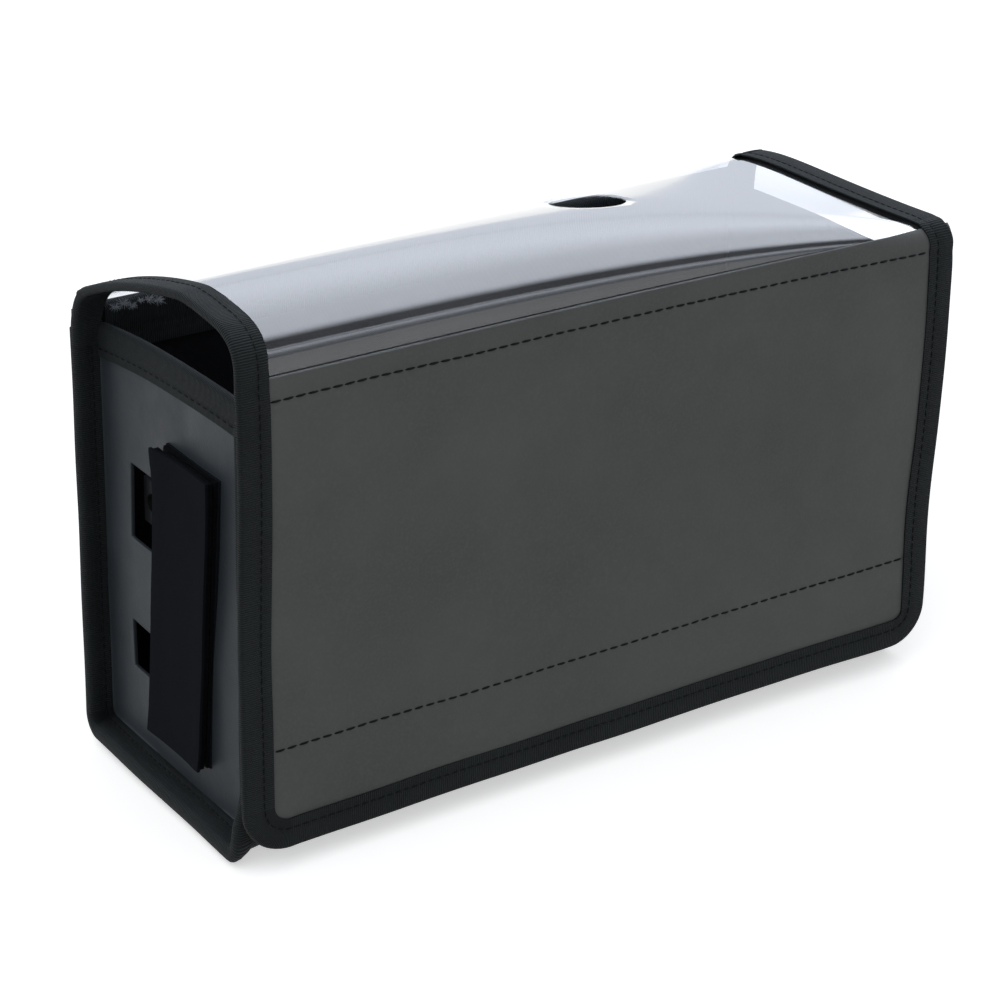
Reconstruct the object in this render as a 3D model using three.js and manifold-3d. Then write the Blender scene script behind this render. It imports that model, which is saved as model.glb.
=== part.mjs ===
// A sewn soft case with a clear lid flap, holding a six-cell lithium polymer pack.
// Millimetres. +X runs along the case, -Y is the front, +Z is up.
// The origin is the middle of the underside.

import * as THREE from "three";
import { mergeVertices } from "three/addons/utils/BufferGeometryUtils.js";
import Module from "manifold-3d";

const wasm = await Module();
wasm.setup();

// Sheet thicknesses, and the clearance left between neighbouring layers.
const vinyl = 1.5;
const film = 0.8;
const tape = 0.8;
const board = 2;
const lining = 0.8;
const gap = 0.3;
const tapeStep = tape + gap;

// The tub: a wrap that makes front, bottom and rear, closed by a recessed tray at each end.
const caseLength = 300;
const tubRear = 58.5;
const tubFront = -53;
const tubCorner = 8;
const rearTop = 165;
const frontTop = 162;
const halfLength = caseLength / 2;
const sheetEnd = halfLength - tapeStep;
const endPlateOuter = 140;
const endPlateInner = endPlateOuter - vinyl;
const liningEnd = 135.5;
const wrapDepth = vinyl + gap + board + gap + lining;
const flangeInset = tapeStep + vinyl + gap;
const finDepth = flangeInset + vinyl + tapeStep;
const bindingWidth = 12.5;
const wrapStepRun = 3;
const hemStripDepth = 20;

// How far a cutting body runs past the body it cuts.
const overcut = 1;

// Top edges of the end trays: rear height, front height and the rise of the arch between them.
const leftArch = { rear: 158, front: 163.5, rise: 3 };
const rightArch = { rear: 158.5, front: 160.5, rise: 1.5 };

// Lead cut-outs in the left end, as Y and Z spans.
const mainCutout = { rear: 32.5, front: 10.5, bottom: 86, top: 114.5 };
const balanceCutout = { rear: 34, front: 15.5, bottom: 34, top: 53 };

// Hook-and-loop strip pair on the left end.
const portStrip = { width: 36, height: 114, base: 2, flap: 2.4, y: -8, z: 75.5, lean: 5 };

// The lid: a film top that folds down into a vinyl front panel.
const panelFace = -59.1;
const panelBack = panelFace + vinyl;
const filmSeam = panelBack + gap;
const panelBottom = 6.1;
const leftCorner = 20;
const rightCorner = 13;
const foldShare = 0.5;
const foldGap = 0.04;
const holeRadius = 14;
const holeX = 31;
const holeY = 4;

// Film profile in Y and Z: hem, two handles, crest, two handles, seam.
const leftFilm = profile(
  [56.5, 168.2], [39, 183], [-14, 196.2], [-22, 196.2], [-55, 196.2], [filmSeam, 190], [filmSeam, 178],
);
const rightFilm = profile(
  [56.5, 168.2], [48, 176], [0, 172.5], [-48, 175.5], [-55, 175.8], [filmSeam, 174], [filmSeam, 168],
);

// Hook-and-loop closure between the flap and the tub front.
const closure = { halfLength: 100, bottom: 20, top: 45, thickness: 1.2 };
const facing = { halfLength: 136, bottom: 19, top: 46.5, thickness: 1 };

// The battery pack: six pouch cells on edge in a heat-shrink sleeve.
const cellCount = 6;
const cell = { length: 222, thickness: 12.8, height: 107.2 };
const cellPitch = cell.thickness + gap;
const sleeve = { length: 232, width: 84, height: 109, wall: 0.6, lip: 7 };
const guardThickness = 1.5;
const label = { halfLength: 70, bottom: 25, top: 85, thickness: 0.3 };
const terminalBoard = { thickness: 1.8, width: 70, bottom: 12, top: 98 };
const packX = 18;
const packY = (tubRear + tubFront) / 2;
const packZ = wrapDepth + gap;
const packFloor = sleeve.wall + gap;
const cellRight = sleeve.length / 2 - sleeve.wall - gap;
const cellLeft = cellRight - cell.length;
const cellTab = { length: 4, thickness: 0.8, width: 20, heights: [25, 75] };
const boardRight = cellLeft - cellTab.length - gap;
const boardLeft = boardRight - terminalBoard.thickness;

// Wiring, in the case's own frame.
const connector = { left: -136, right: -116, y: 21.5, z: 100, width: 21.2, height: 17 };
const leadRadius = 2.7;
const leadSpacing = 9.8;
const leadOffset = { forward: 18, drop: 46 };
const contact = { boreRadius: 3.5, radius: 3.1, boreDepth: 14, length: 8 };
const balanceWires = { width: 9, thickness: 1.4 };
const plug = { left: -128, right: -116, y: 23, z: 69, width: 6, height: 18 };
const plugWall = 1;
const socketDepth = 7;
const boardFace = packX + boardLeft - 2 * gap;

const black = material(0x1e2020, 0.9);
const vinylGrey = material(0x484a4a, 0.55);
const endGrey = material(0x3a3f42, 0.5);
const liningBlack = material(0x121314, 0.95);
const boardTan = material(0x8a7a5c, 0.9);
const hookBlack = material(0x1b1d20, 1);
const clearFilm = material(0xdfe3ea, 0.08);
const cellSilver = material(0xb9bcc0, 0.35, 0.6);
const guardGreen = material(0x4c6b4e, 0.6);
const circuitGreen = material(0x1f5a35, 0.5);
const sleeveBlack = material(0x16181c, 0.3);
const labelGrey = material(0x8e9296, 0.5);
const redSilicone = material(0xa31d18, 0.5);
const blackSilicone = material(0x17181a, 0.5);
const housingBlack = material(0x202226, 0.45);
const brass = material(0xc9a24a, 0.3, 0.9);

clearFilm.transparent = true;
clearFilm.opacity = 0.35;

function material(color, roughness, metalness = 0) {
  return new THREE.MeshStandardMaterial({ color, roughness, metalness });
}

function profile(...pairs) {
  return pairs.map(([y, z]) => new THREE.Vector2(y, z));
}

function arc(centreA, centreB, radius, fromDegrees, toDegrees, steps = 6) {
  const points = [];
  for (let i = 0; i <= steps; i += 1) {
    const angle = THREE.MathUtils.degToRad(fromDegrees + ((toDegrees - fromDegrees) * i) / steps);
    points.push(new THREE.Vector2(centreA + radius * Math.cos(angle), centreB + radius * Math.sin(angle)));
  }
  return points;
}

// Moves a path sideways: towards the inside of the case for a path that runs from rear to front.
function offset(path, distance) {
  return path.map((point, i) => {
    const before = path[Math.max(i - 1, 0)];
    const after = path[Math.min(i + 1, path.length - 1)];
    const along = after.clone().sub(before).normalize();
    return new THREE.Vector2(point.x - along.y * distance, point.y + along.x * distance);
  });
}

// Adds a short straight run to both ends of a path, so that a slot along it cuts clean through.
function lengthen(path, run = 1) {
  const [first, second] = path;
  const [beforeLast, last] = path.slice(-2);
  return [
    first.clone().lerp(second, -run / first.distanceTo(second)),
    ...path,
    last.clone().lerp(beforeLast, -run / last.distanceTo(beforeLast)),
  ];
}

function ribbon(outer, inner) {
  return [...outer, ...[...inner].reverse()];
}

// Extrudes an outline given in Y and Z between two X positions.
function alongX(outline, x1, x2) {
  const depth = Math.abs(x2 - x1);
  const geometry = new THREE.ExtrudeGeometry(new THREE.Shape(outline), { depth, bevelEnabled: false });
  const axes = [new THREE.Vector3(0, 1, 0), new THREE.Vector3(0, 0, 1), new THREE.Vector3(1, 0, 0)];
  geometry.applyMatrix4(new THREE.Matrix4().makeBasis(...axes));
  return geometry.translate(Math.min(x1, x2), 0, 0);
}

// Extrudes an outline given in X and Z between two Y positions.
function alongY(outline, y1, y2) {
  const depth = Math.abs(y2 - y1);
  const geometry = new THREE.ExtrudeGeometry(new THREE.Shape(outline), { depth, bevelEnabled: false });
  const axes = [new THREE.Vector3(1, 0, 0), new THREE.Vector3(0, 0, 1), new THREE.Vector3(0, -1, 0)];
  geometry.applyMatrix4(new THREE.Matrix4().makeBasis(...axes));
  return geometry.translate(0, Math.max(y1, y2), 0);
}

// Skins a row of matching outlines, each given in Y and Z at its own X, and caps both ends.
function loftAlongX(sections) {
  const count = sections[0].outline.length;
  const clockwise = THREE.ShapeUtils.isClockWise(sections[0].outline);
  const outlines = sections.map(({ outline }) => (clockwise ? [...outline].reverse() : outline));
  const positions = outlines.flatMap((outline, i) => {
    return outline.flatMap((point) => [sections[i].x, point.x, point.y]);
  });
  const last = (sections.length - 1) * count;
  const indices = [];
  for (let section = 0; section < last; section += count) {
    for (let i = 0; i < count; i += 1) {
      const a = section + i;
      const b = section + ((i + 1) % count);
      indices.push(a, b, a + count, b, b + count, a + count);
    }
  }
  for (const [a, b, c] of THREE.ShapeUtils.triangulateShape(outlines[0], [])) {
    indices.push(a, c, b, last + a, last + b, last + c);
  }
  const geometry = new THREE.BufferGeometry();
  geometry.setAttribute("position", new THREE.Float32BufferAttribute(positions, 3));
  geometry.setIndex(indices);
  geometry.computeVertexNormals();
  return geometry;
}

function box(x1, x2, y1, y2, z1, z2) {
  const geometry = new THREE.BoxGeometry(Math.abs(x2 - x1), Math.abs(y2 - y1), Math.abs(z2 - z1));
  return geometry.translate((x1 + x2) / 2, (y1 + y2) / 2, (z1 + z2) / 2);
}

function toManifold(geometry) {
  const bare = geometry.clone();
  bare.deleteAttribute("normal");
  bare.deleteAttribute("uv");
  const welded = mergeVertices(bare);
  const mesh = new wasm.Mesh({
    numProp: 3,
    vertProperties: new Float32Array(welded.attributes.position.array),
    triVerts: new Uint32Array(welded.index.array),
  });
  return new wasm.Manifold(mesh);
}

function fromManifold(solid) {
  const mesh = solid.getMesh();
  const geometry = new THREE.BufferGeometry();
  geometry.setAttribute("position", new THREE.Float32BufferAttribute(mesh.vertProperties, 3));
  geometry.setIndex([...mesh.triVerts]);
  geometry.computeVertexNormals();
  return geometry;
}

function cut(geometry, ...tools) {
  return fromManifold(tools.reduce((solid, tool) => solid.subtract(toManifold(tool)), toManifold(geometry)));
}

function join(geometry, ...others) {
  return fromManifold(others.reduce((solid, other) => solid.add(toManifold(other)), toManifold(geometry)));
}

function piece(name, geometry, finish) {
  const mesh = new THREE.Mesh(geometry, finish);
  mesh.name = name;
  return mesh;
}

// The U-shaped line of rear wall, bottom and front wall, a given distance inside the outer face.
function tubPath(inset, rearHeight = rearTop, frontHeight = frontTop) {
  const radius = tubCorner - inset;
  return [
    new THREE.Vector2(tubRear - inset, rearHeight),
    ...arc(tubRear - tubCorner, tubCorner, radius, 0, -90),
    ...arc(tubFront + tubCorner, tubCorner, radius, -90, -180),
    new THREE.Vector2(tubFront + inset, frontHeight),
  ];
}

// The wrap steps in at each end, so that the binding over its edge lies flush with it.
function wrapPanel() {
  const stepped = endPlateOuter - 0.5;
  const full = stepped - wrapStepRun;
  const stations = [
    [-sheetEnd, tapeStep], [-stepped, tapeStep], [-full, 0],
    [full, 0], [stepped, tapeStep], [sheetEnd, tapeStep],
  ];
  const sections = stations.map(([x, inset]) => {
    return { x, outline: ribbon(tubPath(inset), tubPath(inset + vinyl)) };
  });
  return piece("wrap_panel", loftAlongX(sections), vinylGrey);
}

function wrapLining() {
  const outline = ribbon(tubPath(wrapDepth - lining), tubPath(wrapDepth));
  return piece("wrap_lining", alongX(outline, -liningEnd, liningEnd), liningBlack);
}

function stiffeners() {
  const outer = vinyl + gap;
  const inner = outer + board;
  const low = tubCorner + gap;
  const boxes = {
    rear_board: box(-liningEnd, liningEnd, tubRear - inner, tubRear - outer, low, rearTop),
    bottom_board: box(-liningEnd, liningEnd, tubFront + low, tubRear - low, outer, inner),
    front_board: box(-liningEnd, liningEnd, tubFront + outer, tubFront + inner, low, frontTop),
  };
  return Object.entries(boxes).map(([name, geometry]) => piece(name, geometry, boardTan));
}

function archHeight(arch, y) {
  const share = (tubRear - y) / (tubRear - tubFront);
  return arch.rear + (arch.front - arch.rear) * share + 4 * arch.rise * share * (1 - share);
}

function archPath(arch, fromY, toY, steps = 10) {
  const points = [];
  for (let i = 0; i <= steps; i += 1) {
    const y = fromY + ((toY - fromY) * i) / steps;
    points.push(new THREE.Vector2(y, archHeight(arch, y)));
  }
  return points;
}

// An end tray: a recessed plate with a flange that turns outwards into the seam.
function endTray(side, arch) {
  const flange = ribbon(
    tubPath(flangeInset, arch.rear, arch.front),
    tubPath(flangeInset + vinyl, arch.rear, arch.front),
  );
  const plate = [
    ...tubPath(flangeInset, arch.rear, arch.front),
    ...archPath(arch, tubFront + flangeInset, tubRear - flangeInset).slice(1, -1),
  ];
  return join(
    alongX(plate, side * endPlateInner, side * endPlateOuter),
    alongX(flange, side * endPlateInner, side * sheetEnd),
  );
}

function cutoutBox({ rear, front, bottom, top }) {
  return box(-endPlateOuter - overcut, -endPlateInner + overcut, front, rear, bottom, top);
}

function endPanels() {
  const left = cut(endTray(-1, leftArch), cutoutBox(mainCutout), cutoutBox(balanceCutout));
  return [
    piece("left_end_panel", left, endGrey),
    piece("right_end_panel", endTray(1, rightArch), endGrey),
  ];
}

// Folded tape over the top edge of an end tray.
function endTopBinding(name, side, arch) {
  const path = archPath(arch, tubRear - finDepth - gap, tubFront + finDepth + gap);
  const cover = ribbon(offset(path, -tapeStep), offset(path, bindingWidth - tapeStep));
  const slot = ribbon(offset(lengthen(path), -gap), offset(lengthen(path), bindingWidth));
  const geometry = cut(
    alongX(cover, side * (endPlateInner - tapeStep), side * (endPlateOuter + tapeStep)),
    alongX(slot, side * (endPlateInner - gap), side * (endPlateOuter + gap)),
  );
  return piece(name, geometry, black);
}

// Folded tape over the seam fin that runs down the rear, under the bottom and up the front.
function seamBinding(name, side) {
  const cover = ribbon(tubPath(0), tubPath(finDepth));
  const slot = ribbon(lengthen(tubPath(tape)), lengthen(tubPath(finDepth - tape)));
  const geometry = cut(
    alongX(cover, side * (endPlateOuter + gap), side * halfLength),
    alongX(slot, side * endPlateOuter, side * (halfLength - tape)),
  );
  return piece(name, geometry, black);
}

// Folded tape over the top edge of the tub's front wall.
function frontRimBinding() {
  const outer = tubFront - tapeStep;
  const inner = tubFront + wrapDepth + tapeStep;
  const low = frontTop + tapeStep - bindingWidth;
  const geometry = cut(
    box(-liningEnd, liningEnd, outer, inner, low, frontTop + tapeStep),
    box(-liningEnd - overcut, liningEnd + overcut, outer + tape, inner - tape, low - overcut, frontTop + gap),
  );
  return piece("front_rim_binding", geometry, black);
}

function rearHemStrip() {
  const face = tubRear - wrapDepth - gap;
  const strip = box(-liningEnd, liningEnd, face - tape, face, rearTop - hemStripDepth, rearTop);
  return piece("rear_hem_strip", strip, black);
}

function loopTape() {
  const face = tubFront - gap;
  const { halfLength: reach, bottom, top, thickness } = closure;
  return piece("loop_tape", box(-reach, reach, face - thickness, face, bottom, top), hookBlack);
}

// One half of the strip pair: level ends, and long sides that lean a little towards the front.
function portStripHalf(name, innerX, thickness) {
  const { width, height, y, z, lean } = portStrip;
  const shift = Math.tan(THREE.MathUtils.degToRad(lean)) * (height / 2);
  const corners = [[-1, -1], [1, -1], [1, 1], [-1, 1]].map(([across, up]) => {
    return new THREE.Vector2(y + (across * width) / 2 - up * shift, z + (up * height) / 2);
  });
  return piece(name, alongX(corners, innerX - thickness, innerX), hookBlack);
}

function portStrips() {
  const sewnFace = -endPlateOuter - gap;
  return [
    portStripHalf("port_strip_base", sewnFace, portStrip.base),
    portStripHalf("port_flap", sewnFace - portStrip.base - gap, portStrip.flap),
  ];
}

function tub() {
  const group = new THREE.Group();
  group.add(
    wrapPanel(),
    wrapLining(),
    ...stiffeners(),
    ...endPanels(),
    endTopBinding("left_end_top_binding", -1, leftArch),
    endTopBinding("right_end_top_binding", 1, rightArch),
    seamBinding("left_seam_binding", -1),
    seamBinding("right_seam_binding", 1),
    frontRimBinding(),
    rearHemStrip(),
    loopTape(),
    ...portStrips(),
  );
  return group;
}

// Bezier controls of the film, blended from the tall left end (0) to the flat right end (1).
function filmControls(share) {
  return leftFilm.map((point, i) => point.clone().lerp(rightFilm[i], share));
}

function filmRise(controls) {
  return new THREE.CubicBezierCurve(...controls.slice(0, 4)).getPoints(12);
}

function filmCorner(controls, from, to, steps = 5) {
  const curve = new THREE.CubicBezierCurve(...controls.slice(3));
  const points = [];
  for (let i = 0; i <= steps; i += 1) {
    points.push(curve.getPoint(from + ((to - from) * i) / steps));
  }
  return points;
}

// The part of the film profile that belongs to the lid top: hem, crest and half of the corner.
function lidTopPath(share) {
  const controls = filmControls(share);
  return [...filmRise(controls), ...filmCorner(controls, 0, foldShare - foldGap).slice(1)];
}

function windowFilm() {
  const constantUntil = halfLength - bindingWidth - 1;
  const steps = 12;
  const sections = [];
  for (let i = -1; i <= steps + 1; i += 1) {
    const share = THREE.MathUtils.clamp(i / steps, 0, 1);
    const end = i < 0 || i > steps;
    const x = end ? Math.sign(i) * sheetEnd : THREE.MathUtils.lerp(-constantUntil, constantUntil, share);
    const path = lidTopPath(share ** 3);
    sections.push({ x, outline: ribbon(path, offset(path, film)) });
  }
  const hole = new THREE.CylinderGeometry(holeRadius, holeRadius, 60, 40);
  hole.rotateX(Math.PI / 2).translate(holeX, holeY, rearTop + 20);
  return piece("window_film", cut(loftAlongX(sections), hole), clearFilm);
}

// Folded tape along a film edge, following a path in Y and Z.
function filmChannel(path, side) {
  const inward = halfLength - bindingWidth;
  const cover = ribbon(offset(path, -tapeStep), offset(path, film + tapeStep));
  const slot = ribbon(offset(lengthen(path), -gap), offset(lengthen(path), film + gap));
  return cut(
    alongX(cover, side * inward, side * halfLength),
    alongX(slot, side * (inward - overcut), side * (halfLength - tape)),
  );
}

function lidTop() {
  const group = new THREE.Group();
  group.add(
    windowFilm(),
    piece("lid_binding_left", filmChannel(lidTopPath(0), -1), black),
    piece("lid_binding_right", filmChannel(lidTopPath(1), 1), black),
  );
  return group;
}

// The flap outline in X and Z: two round lower corners, and a slanting top edge near the film seam.
function flapOutline(inset, topLift) {
  const left = leftCorner - inset;
  const right = rightCorner - inset;
  const low = panelBottom - tapeStep;
  const edge = halfLength - inset;
  return [
    new THREE.Vector2(-edge, leftFilm.at(-1).y + topLift),
    ...arc(leftCorner - halfLength, low + leftCorner, left, 180, 270),
    ...arc(halfLength - rightCorner, low + rightCorner, right, 270, 360),
    new THREE.Vector2(edge, rightFilm.at(-1).y + topLift),
  ];
}

// Folded tape down both sides and along the bottom of the flap, with its share of the film corner.
function lidFrontBinding() {
  const front = panelFace - tapeStep;
  const back = filmSeam + film + tapeStep;
  const overlap = 2;
  const frame = cut(
    alongY(flapOutline(0, overlap), front, back),
    alongY(flapOutline(bindingWidth, 2 * overlap), front - overcut, back + overcut),
    alongY(flapOutline(tape, 2 * overlap), front + tape, back - tape),
  );
  const corners = [-1, 1].map((side) => {
    const controls = filmControls(side < 0 ? 0 : 1);
    return filmChannel(filmCorner(controls, foldShare + foldGap, 1), side);
  });
  return piece("lid_binding_front", join(frame, ...corners), black);
}

function frontPanel() {
  return piece("front_panel", alongY(flapOutline(tapeStep, -3 * gap), panelFace, panelBack), vinylGrey);
}

function frontFacing() {
  const face = panelBack + gap;
  const { halfLength: reach, bottom, top, thickness } = facing;
  return piece("front_facing", box(-reach, reach, face, face + thickness, bottom, top), vinylGrey);
}

function hookTape() {
  const face = panelBack + gap + facing.thickness + gap;
  const { halfLength: reach, bottom, top, thickness } = closure;
  return piece("hook_tape", box(-reach, reach, face, face + thickness, bottom, top), hookBlack);
}

function lidFront() {
  const group = new THREE.Group();
  group.add(frontPanel(), frontFacing(), hookTape(), lidFrontBinding());
  return group;
}

// A pouch cell standing on edge, with its two tabs towards the terminal board.
function pouchCell(index) {
  const y = (index - (cellCount - 1) / 2) * cellPitch;
  const half = cell.thickness / 2;
  const body = box(cellLeft, cellRight, y - half, y + half, packFloor, packFloor + cell.height);
  const { length, thickness, width } = cellTab;
  const tabs = cellTab.heights.map((height) => {
    const [low, high] = [height - width / 2, height + width / 2];
    return box(cellLeft - length, cellLeft + overcut, y - thickness / 2, y + thickness / 2, low, high);
  });
  return piece(`cell_${index + 1}`, join(body, ...tabs), cellSilver);
}

function guardPlate(name, side) {
  const outer = sleeve.width / 2 - sleeve.wall - gap;
  const geometry = box(
    cellLeft, cellRight, side * (outer - guardThickness), side * outer, packFloor, packFloor + cell.height,
  );
  return piece(name, geometry, guardGreen);
}

function heatShrinkSleeve() {
  const { length, width, height, wall, lip } = sleeve;
  const geometry = cut(
    box(-length / 2, length / 2, -width / 2, width / 2, 0, height),
    box(-length / 2 + wall, length / 2 - wall, -width / 2 + wall, width / 2 - wall, wall, height - wall),
    box(-length / 2 - overcut, length / 2 + overcut, -width / 2 + lip, width / 2 - lip, lip, height - lip),
  );
  return piece("pack_sleeve", geometry, sleeveBlack);
}

function boardPiece() {
  const { width, bottom, top } = terminalBoard;
  const plate = box(boardLeft, boardRight, -width / 2, width / 2, bottom, top);
  return piece("terminal_board", plate, circuitGreen);
}

function packLabel() {
  const face = -sleeve.width / 2 - gap;
  const { halfLength: reach, bottom, top, thickness } = label;
  return piece("pack_label", box(-reach, reach, face - thickness, face, bottom, top), labelGrey);
}

function batteryPack() {
  const group = new THREE.Group();
  group.position.set(packX, packY, packZ);
  for (let index = 0; index < cellCount; index += 1) {
    group.add(pouchCell(index));
  }
  group.add(guardPlate("front_guard_plate", -1), guardPlate("rear_guard_plate", 1));
  group.add(heatShrinkSleeve(), boardPiece(), packLabel());
  return group;
}

// A main lead: out of the terminal board, up and across, and into the back of the connector.
function mainLead(name, side, finish) {
  const y = connector.y + (side * leadSpacing) / 2;
  const start = connector.right + gap;
  const { forward, drop } = leadOffset;
  const path = new THREE.CatmullRomCurve3([
    new THREE.Vector3(start, y, connector.z),
    new THREE.Vector3(start + 6, y, connector.z),
    new THREE.Vector3(start + 11, y - forward / 3, connector.z - drop / 4),
    new THREE.Vector3(start + 11, y - forward * 0.8, connector.z - drop * 0.75),
    new THREE.Vector3(boardFace - 5, y - forward, connector.z - drop),
    new THREE.Vector3(boardFace, y - forward, connector.z - drop),
  ]);
  const section = new THREE.Shape(arc(0, 0, leadRadius, 0, 360, 12).slice(1));
  return piece(name, new THREE.ExtrudeGeometry(section, { steps: 24, extrudePath: path }), finish);
}

function contactCylinder(radius, length, left, y) {
  const geometry = new THREE.CylinderGeometry(radius, radius, length, 20);
  return geometry.rotateZ(Math.PI / 2).translate(left + length / 2, y, connector.z);
}

function contactYs() {
  return [-1, 1].map((side) => connector.y + (side * leadSpacing) / 2);
}

function connectorHousing() {
  const { left, right, y, z, width, height } = connector;
  const { boreRadius, boreDepth } = contact;
  const bores = contactYs().map((boreY) => contactCylinder(boreRadius, boreDepth, left - overcut, boreY));
  const block = box(left, right, y - width / 2, y + width / 2, z - height / 2, z + height / 2);
  return piece("main_connector", cut(block, ...bores), housingBlack);
}

function connectorContacts() {
  const deepEnd = connector.left - overcut + contact.boreDepth - gap;
  return contactYs().map((y, i) => {
    const geometry = contactCylinder(contact.radius, contact.length, deepEnd - contact.length, y);
    return piece(`connector_contact_${i + 1}`, geometry, brass);
  });
}

// The flat bundle of thin wires that watches each cell.
function balanceLead() {
  const start = plug.right + gap;
  const path = new THREE.CatmullRomCurve3([
    new THREE.Vector3(start, plug.y, plug.z),
    new THREE.Vector3(start + 5, plug.y, plug.z),
    new THREE.Vector3(start + 10, plug.y + 4, plug.z),
    new THREE.Vector3(start + 15, plug.y + 1, plug.z),
    new THREE.Vector3(boardFace, plug.y + 1, plug.z),
  ]);
  const [x, y] = [balanceWires.width / 2, balanceWires.thickness / 2];
  const section = new THREE.Shape(profile([-x, -y], [x, -y], [x, y], [-x, y]));
  const bundle = new THREE.ExtrudeGeometry(section, { steps: 20, extrudePath: path });
  return piece("balance_lead", bundle, blackSilicone);
}

function balancePlug() {
  const { left, right, y, z, width, height } = plug;
  const block = box(left, right, y - width / 2, y + width / 2, z - height / 2, z + height / 2);
  const [reachY, reachZ] = [width / 2 - plugWall, height / 2 - plugWall];
  const socket = box(left - overcut, left + socketDepth, y - reachY, y + reachY, z - reachZ, z + reachZ);
  return piece("balance_plug", cut(block, socket), housingBlack);
}

function wiring() {
  const group = new THREE.Group();
  group.add(
    mainLead("positive_lead", -1, redSilicone),
    mainLead("negative_lead", 1, blackSilicone),
    connectorHousing(),
    ...connectorContacts(),
    balanceLead(),
    balancePlug(),
  );
  return group;
}

const lipoCase = new THREE.Group();
lipoCase.add(tub(), lidTop(), lidFront(), batteryPack(), wiring());

export default lipoCase;
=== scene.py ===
import math

import bmesh
import bpy
import numpy as np
from mathutils import Matrix, Vector, noise


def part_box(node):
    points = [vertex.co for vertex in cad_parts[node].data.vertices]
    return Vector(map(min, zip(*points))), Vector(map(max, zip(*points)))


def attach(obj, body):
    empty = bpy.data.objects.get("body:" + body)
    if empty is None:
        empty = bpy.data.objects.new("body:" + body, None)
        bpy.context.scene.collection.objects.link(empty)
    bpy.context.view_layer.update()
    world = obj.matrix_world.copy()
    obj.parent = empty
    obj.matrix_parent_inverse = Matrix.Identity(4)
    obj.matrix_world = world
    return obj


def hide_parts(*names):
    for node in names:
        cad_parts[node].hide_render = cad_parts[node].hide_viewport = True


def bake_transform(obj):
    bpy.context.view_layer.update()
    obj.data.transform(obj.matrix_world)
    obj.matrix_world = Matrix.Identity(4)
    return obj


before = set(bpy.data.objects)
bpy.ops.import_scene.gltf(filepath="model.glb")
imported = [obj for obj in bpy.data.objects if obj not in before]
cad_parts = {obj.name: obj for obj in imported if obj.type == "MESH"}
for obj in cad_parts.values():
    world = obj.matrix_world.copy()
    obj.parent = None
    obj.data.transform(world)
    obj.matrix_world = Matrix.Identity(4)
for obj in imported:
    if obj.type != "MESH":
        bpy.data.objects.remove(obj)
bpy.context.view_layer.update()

# Everything is in metres, in the row frame: +X along the case, -Y the front, +Z up.
MM = 0.001
UP = Vector((0, 0, 1))
FORWARD = Vector((0, -1, 0))

# Sheet goods
VINYL = 1.5 * MM
FILM = 0.8 * MM
TAPE = 0.6 * MM
TAPE_WIDTH = 12.5 * MM
LAYER_GAP = 0.3 * MM
LINING_THICKNESS = 0.8 * MM

# Sewing
TAPE_PINCH = 0.93
TAPE_PITCH, TAPE_THREAD = 3.4 * MM, 0.26 * MM

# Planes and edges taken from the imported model
TUB_LOW, TUB_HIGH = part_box("wrap_panel")
FLAP_LOW, FLAP_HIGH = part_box("lid_binding_front")
PANEL_LOW, PANEL_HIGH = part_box("front_panel")
FILM_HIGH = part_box("window_film")[1]
LINING_LOW, LINING_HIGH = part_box("wrap_lining")
HALF_LENGTH = FLAP_HIGH.x
PANEL_MID_Y = (PANEL_LOW.y + PANEL_HIGH.y) / 2
SEAM_Y = PANEL_HIGH.y + LAYER_GAP
LINING_INSET = TUB_HIGH.y - LINING_HIGH.y + LINING_THICKNESS / 2

# Film profile controls in Y and Z: hem, two handles, crest, two handles, seam
HEM = (56.5 * MM, 168.2 * MM)
LEFT_FILM = [HEM, (39 * MM, 183 * MM), (-14 * MM, 196.2 * MM), (-22 * MM, 196.2 * MM),
             (-55 * MM, 196.2 * MM), (SEAM_Y, 190 * MM), (SEAM_Y, 178 * MM)]
RIGHT_FILM = [HEM, (48 * MM, 176 * MM), (0, 172.5 * MM), (-48 * MM, 175.5 * MM),
              (-55 * MM, 175.8 * MM), (SEAM_Y, 174 * MM), (SEAM_Y, 168 * MM)]
FILM_BLEND_END = 136.5 * MM
CREST, SEAM = 3, 6


def lerp(a, b, share):
    return a + (b - a) * share


def clamp(value, low=0.0, high=1.0):
    return max(low, min(high, value))


def ease(share):
    share = clamp(share)
    return share * share * (3 - 2 * share)


def bump_curve(value, centre, width):
    return math.exp(-((value - centre) / width) ** 2)


def ripple(point, size, seed=0.0):
    """Smooth noise between about -1 and 1, with features of the given size in metres."""
    return noise.noise(Vector(point) / size + Vector((seed, -seed, 2 * seed)))


# ---------------------------------------------------------------- mesh helpers

def new_object(name, points, faces, uvs=None):
    mesh = bpy.data.meshes.new(name)
    mesh.from_pydata([tuple(p) for p in points], [], faces)
    if uvs is not None:
        layer = mesh.uv_layers.new(name="UVMap")
        for loop in mesh.loops:
            layer.data[loop.index].uv = uvs[loop.vertex_index]
    mesh.validate()
    obj = bpy.data.objects.new(name, mesh)
    bpy.context.scene.collection.objects.link(obj)
    return obj


def edit_mesh(obj, change):
    """Runs one bmesh change on a piece's mesh."""
    work = bmesh.new()
    work.from_mesh(obj.data)
    change(work)
    work.to_mesh(obj.data)
    work.free()


def tidy_mesh(obj, sharp_degrees=40):
    """Turns every face outwards and shades the mesh smooth, apart from its sharp edges."""
    edit_mesh(obj, lambda work: bmesh.ops.recalc_face_normals(work, faces=work.faces))
    obj.data.shade_smooth()
    obj.data.set_sharp_from_angle(angle=math.radians(sharp_degrees))
    return obj


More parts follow.
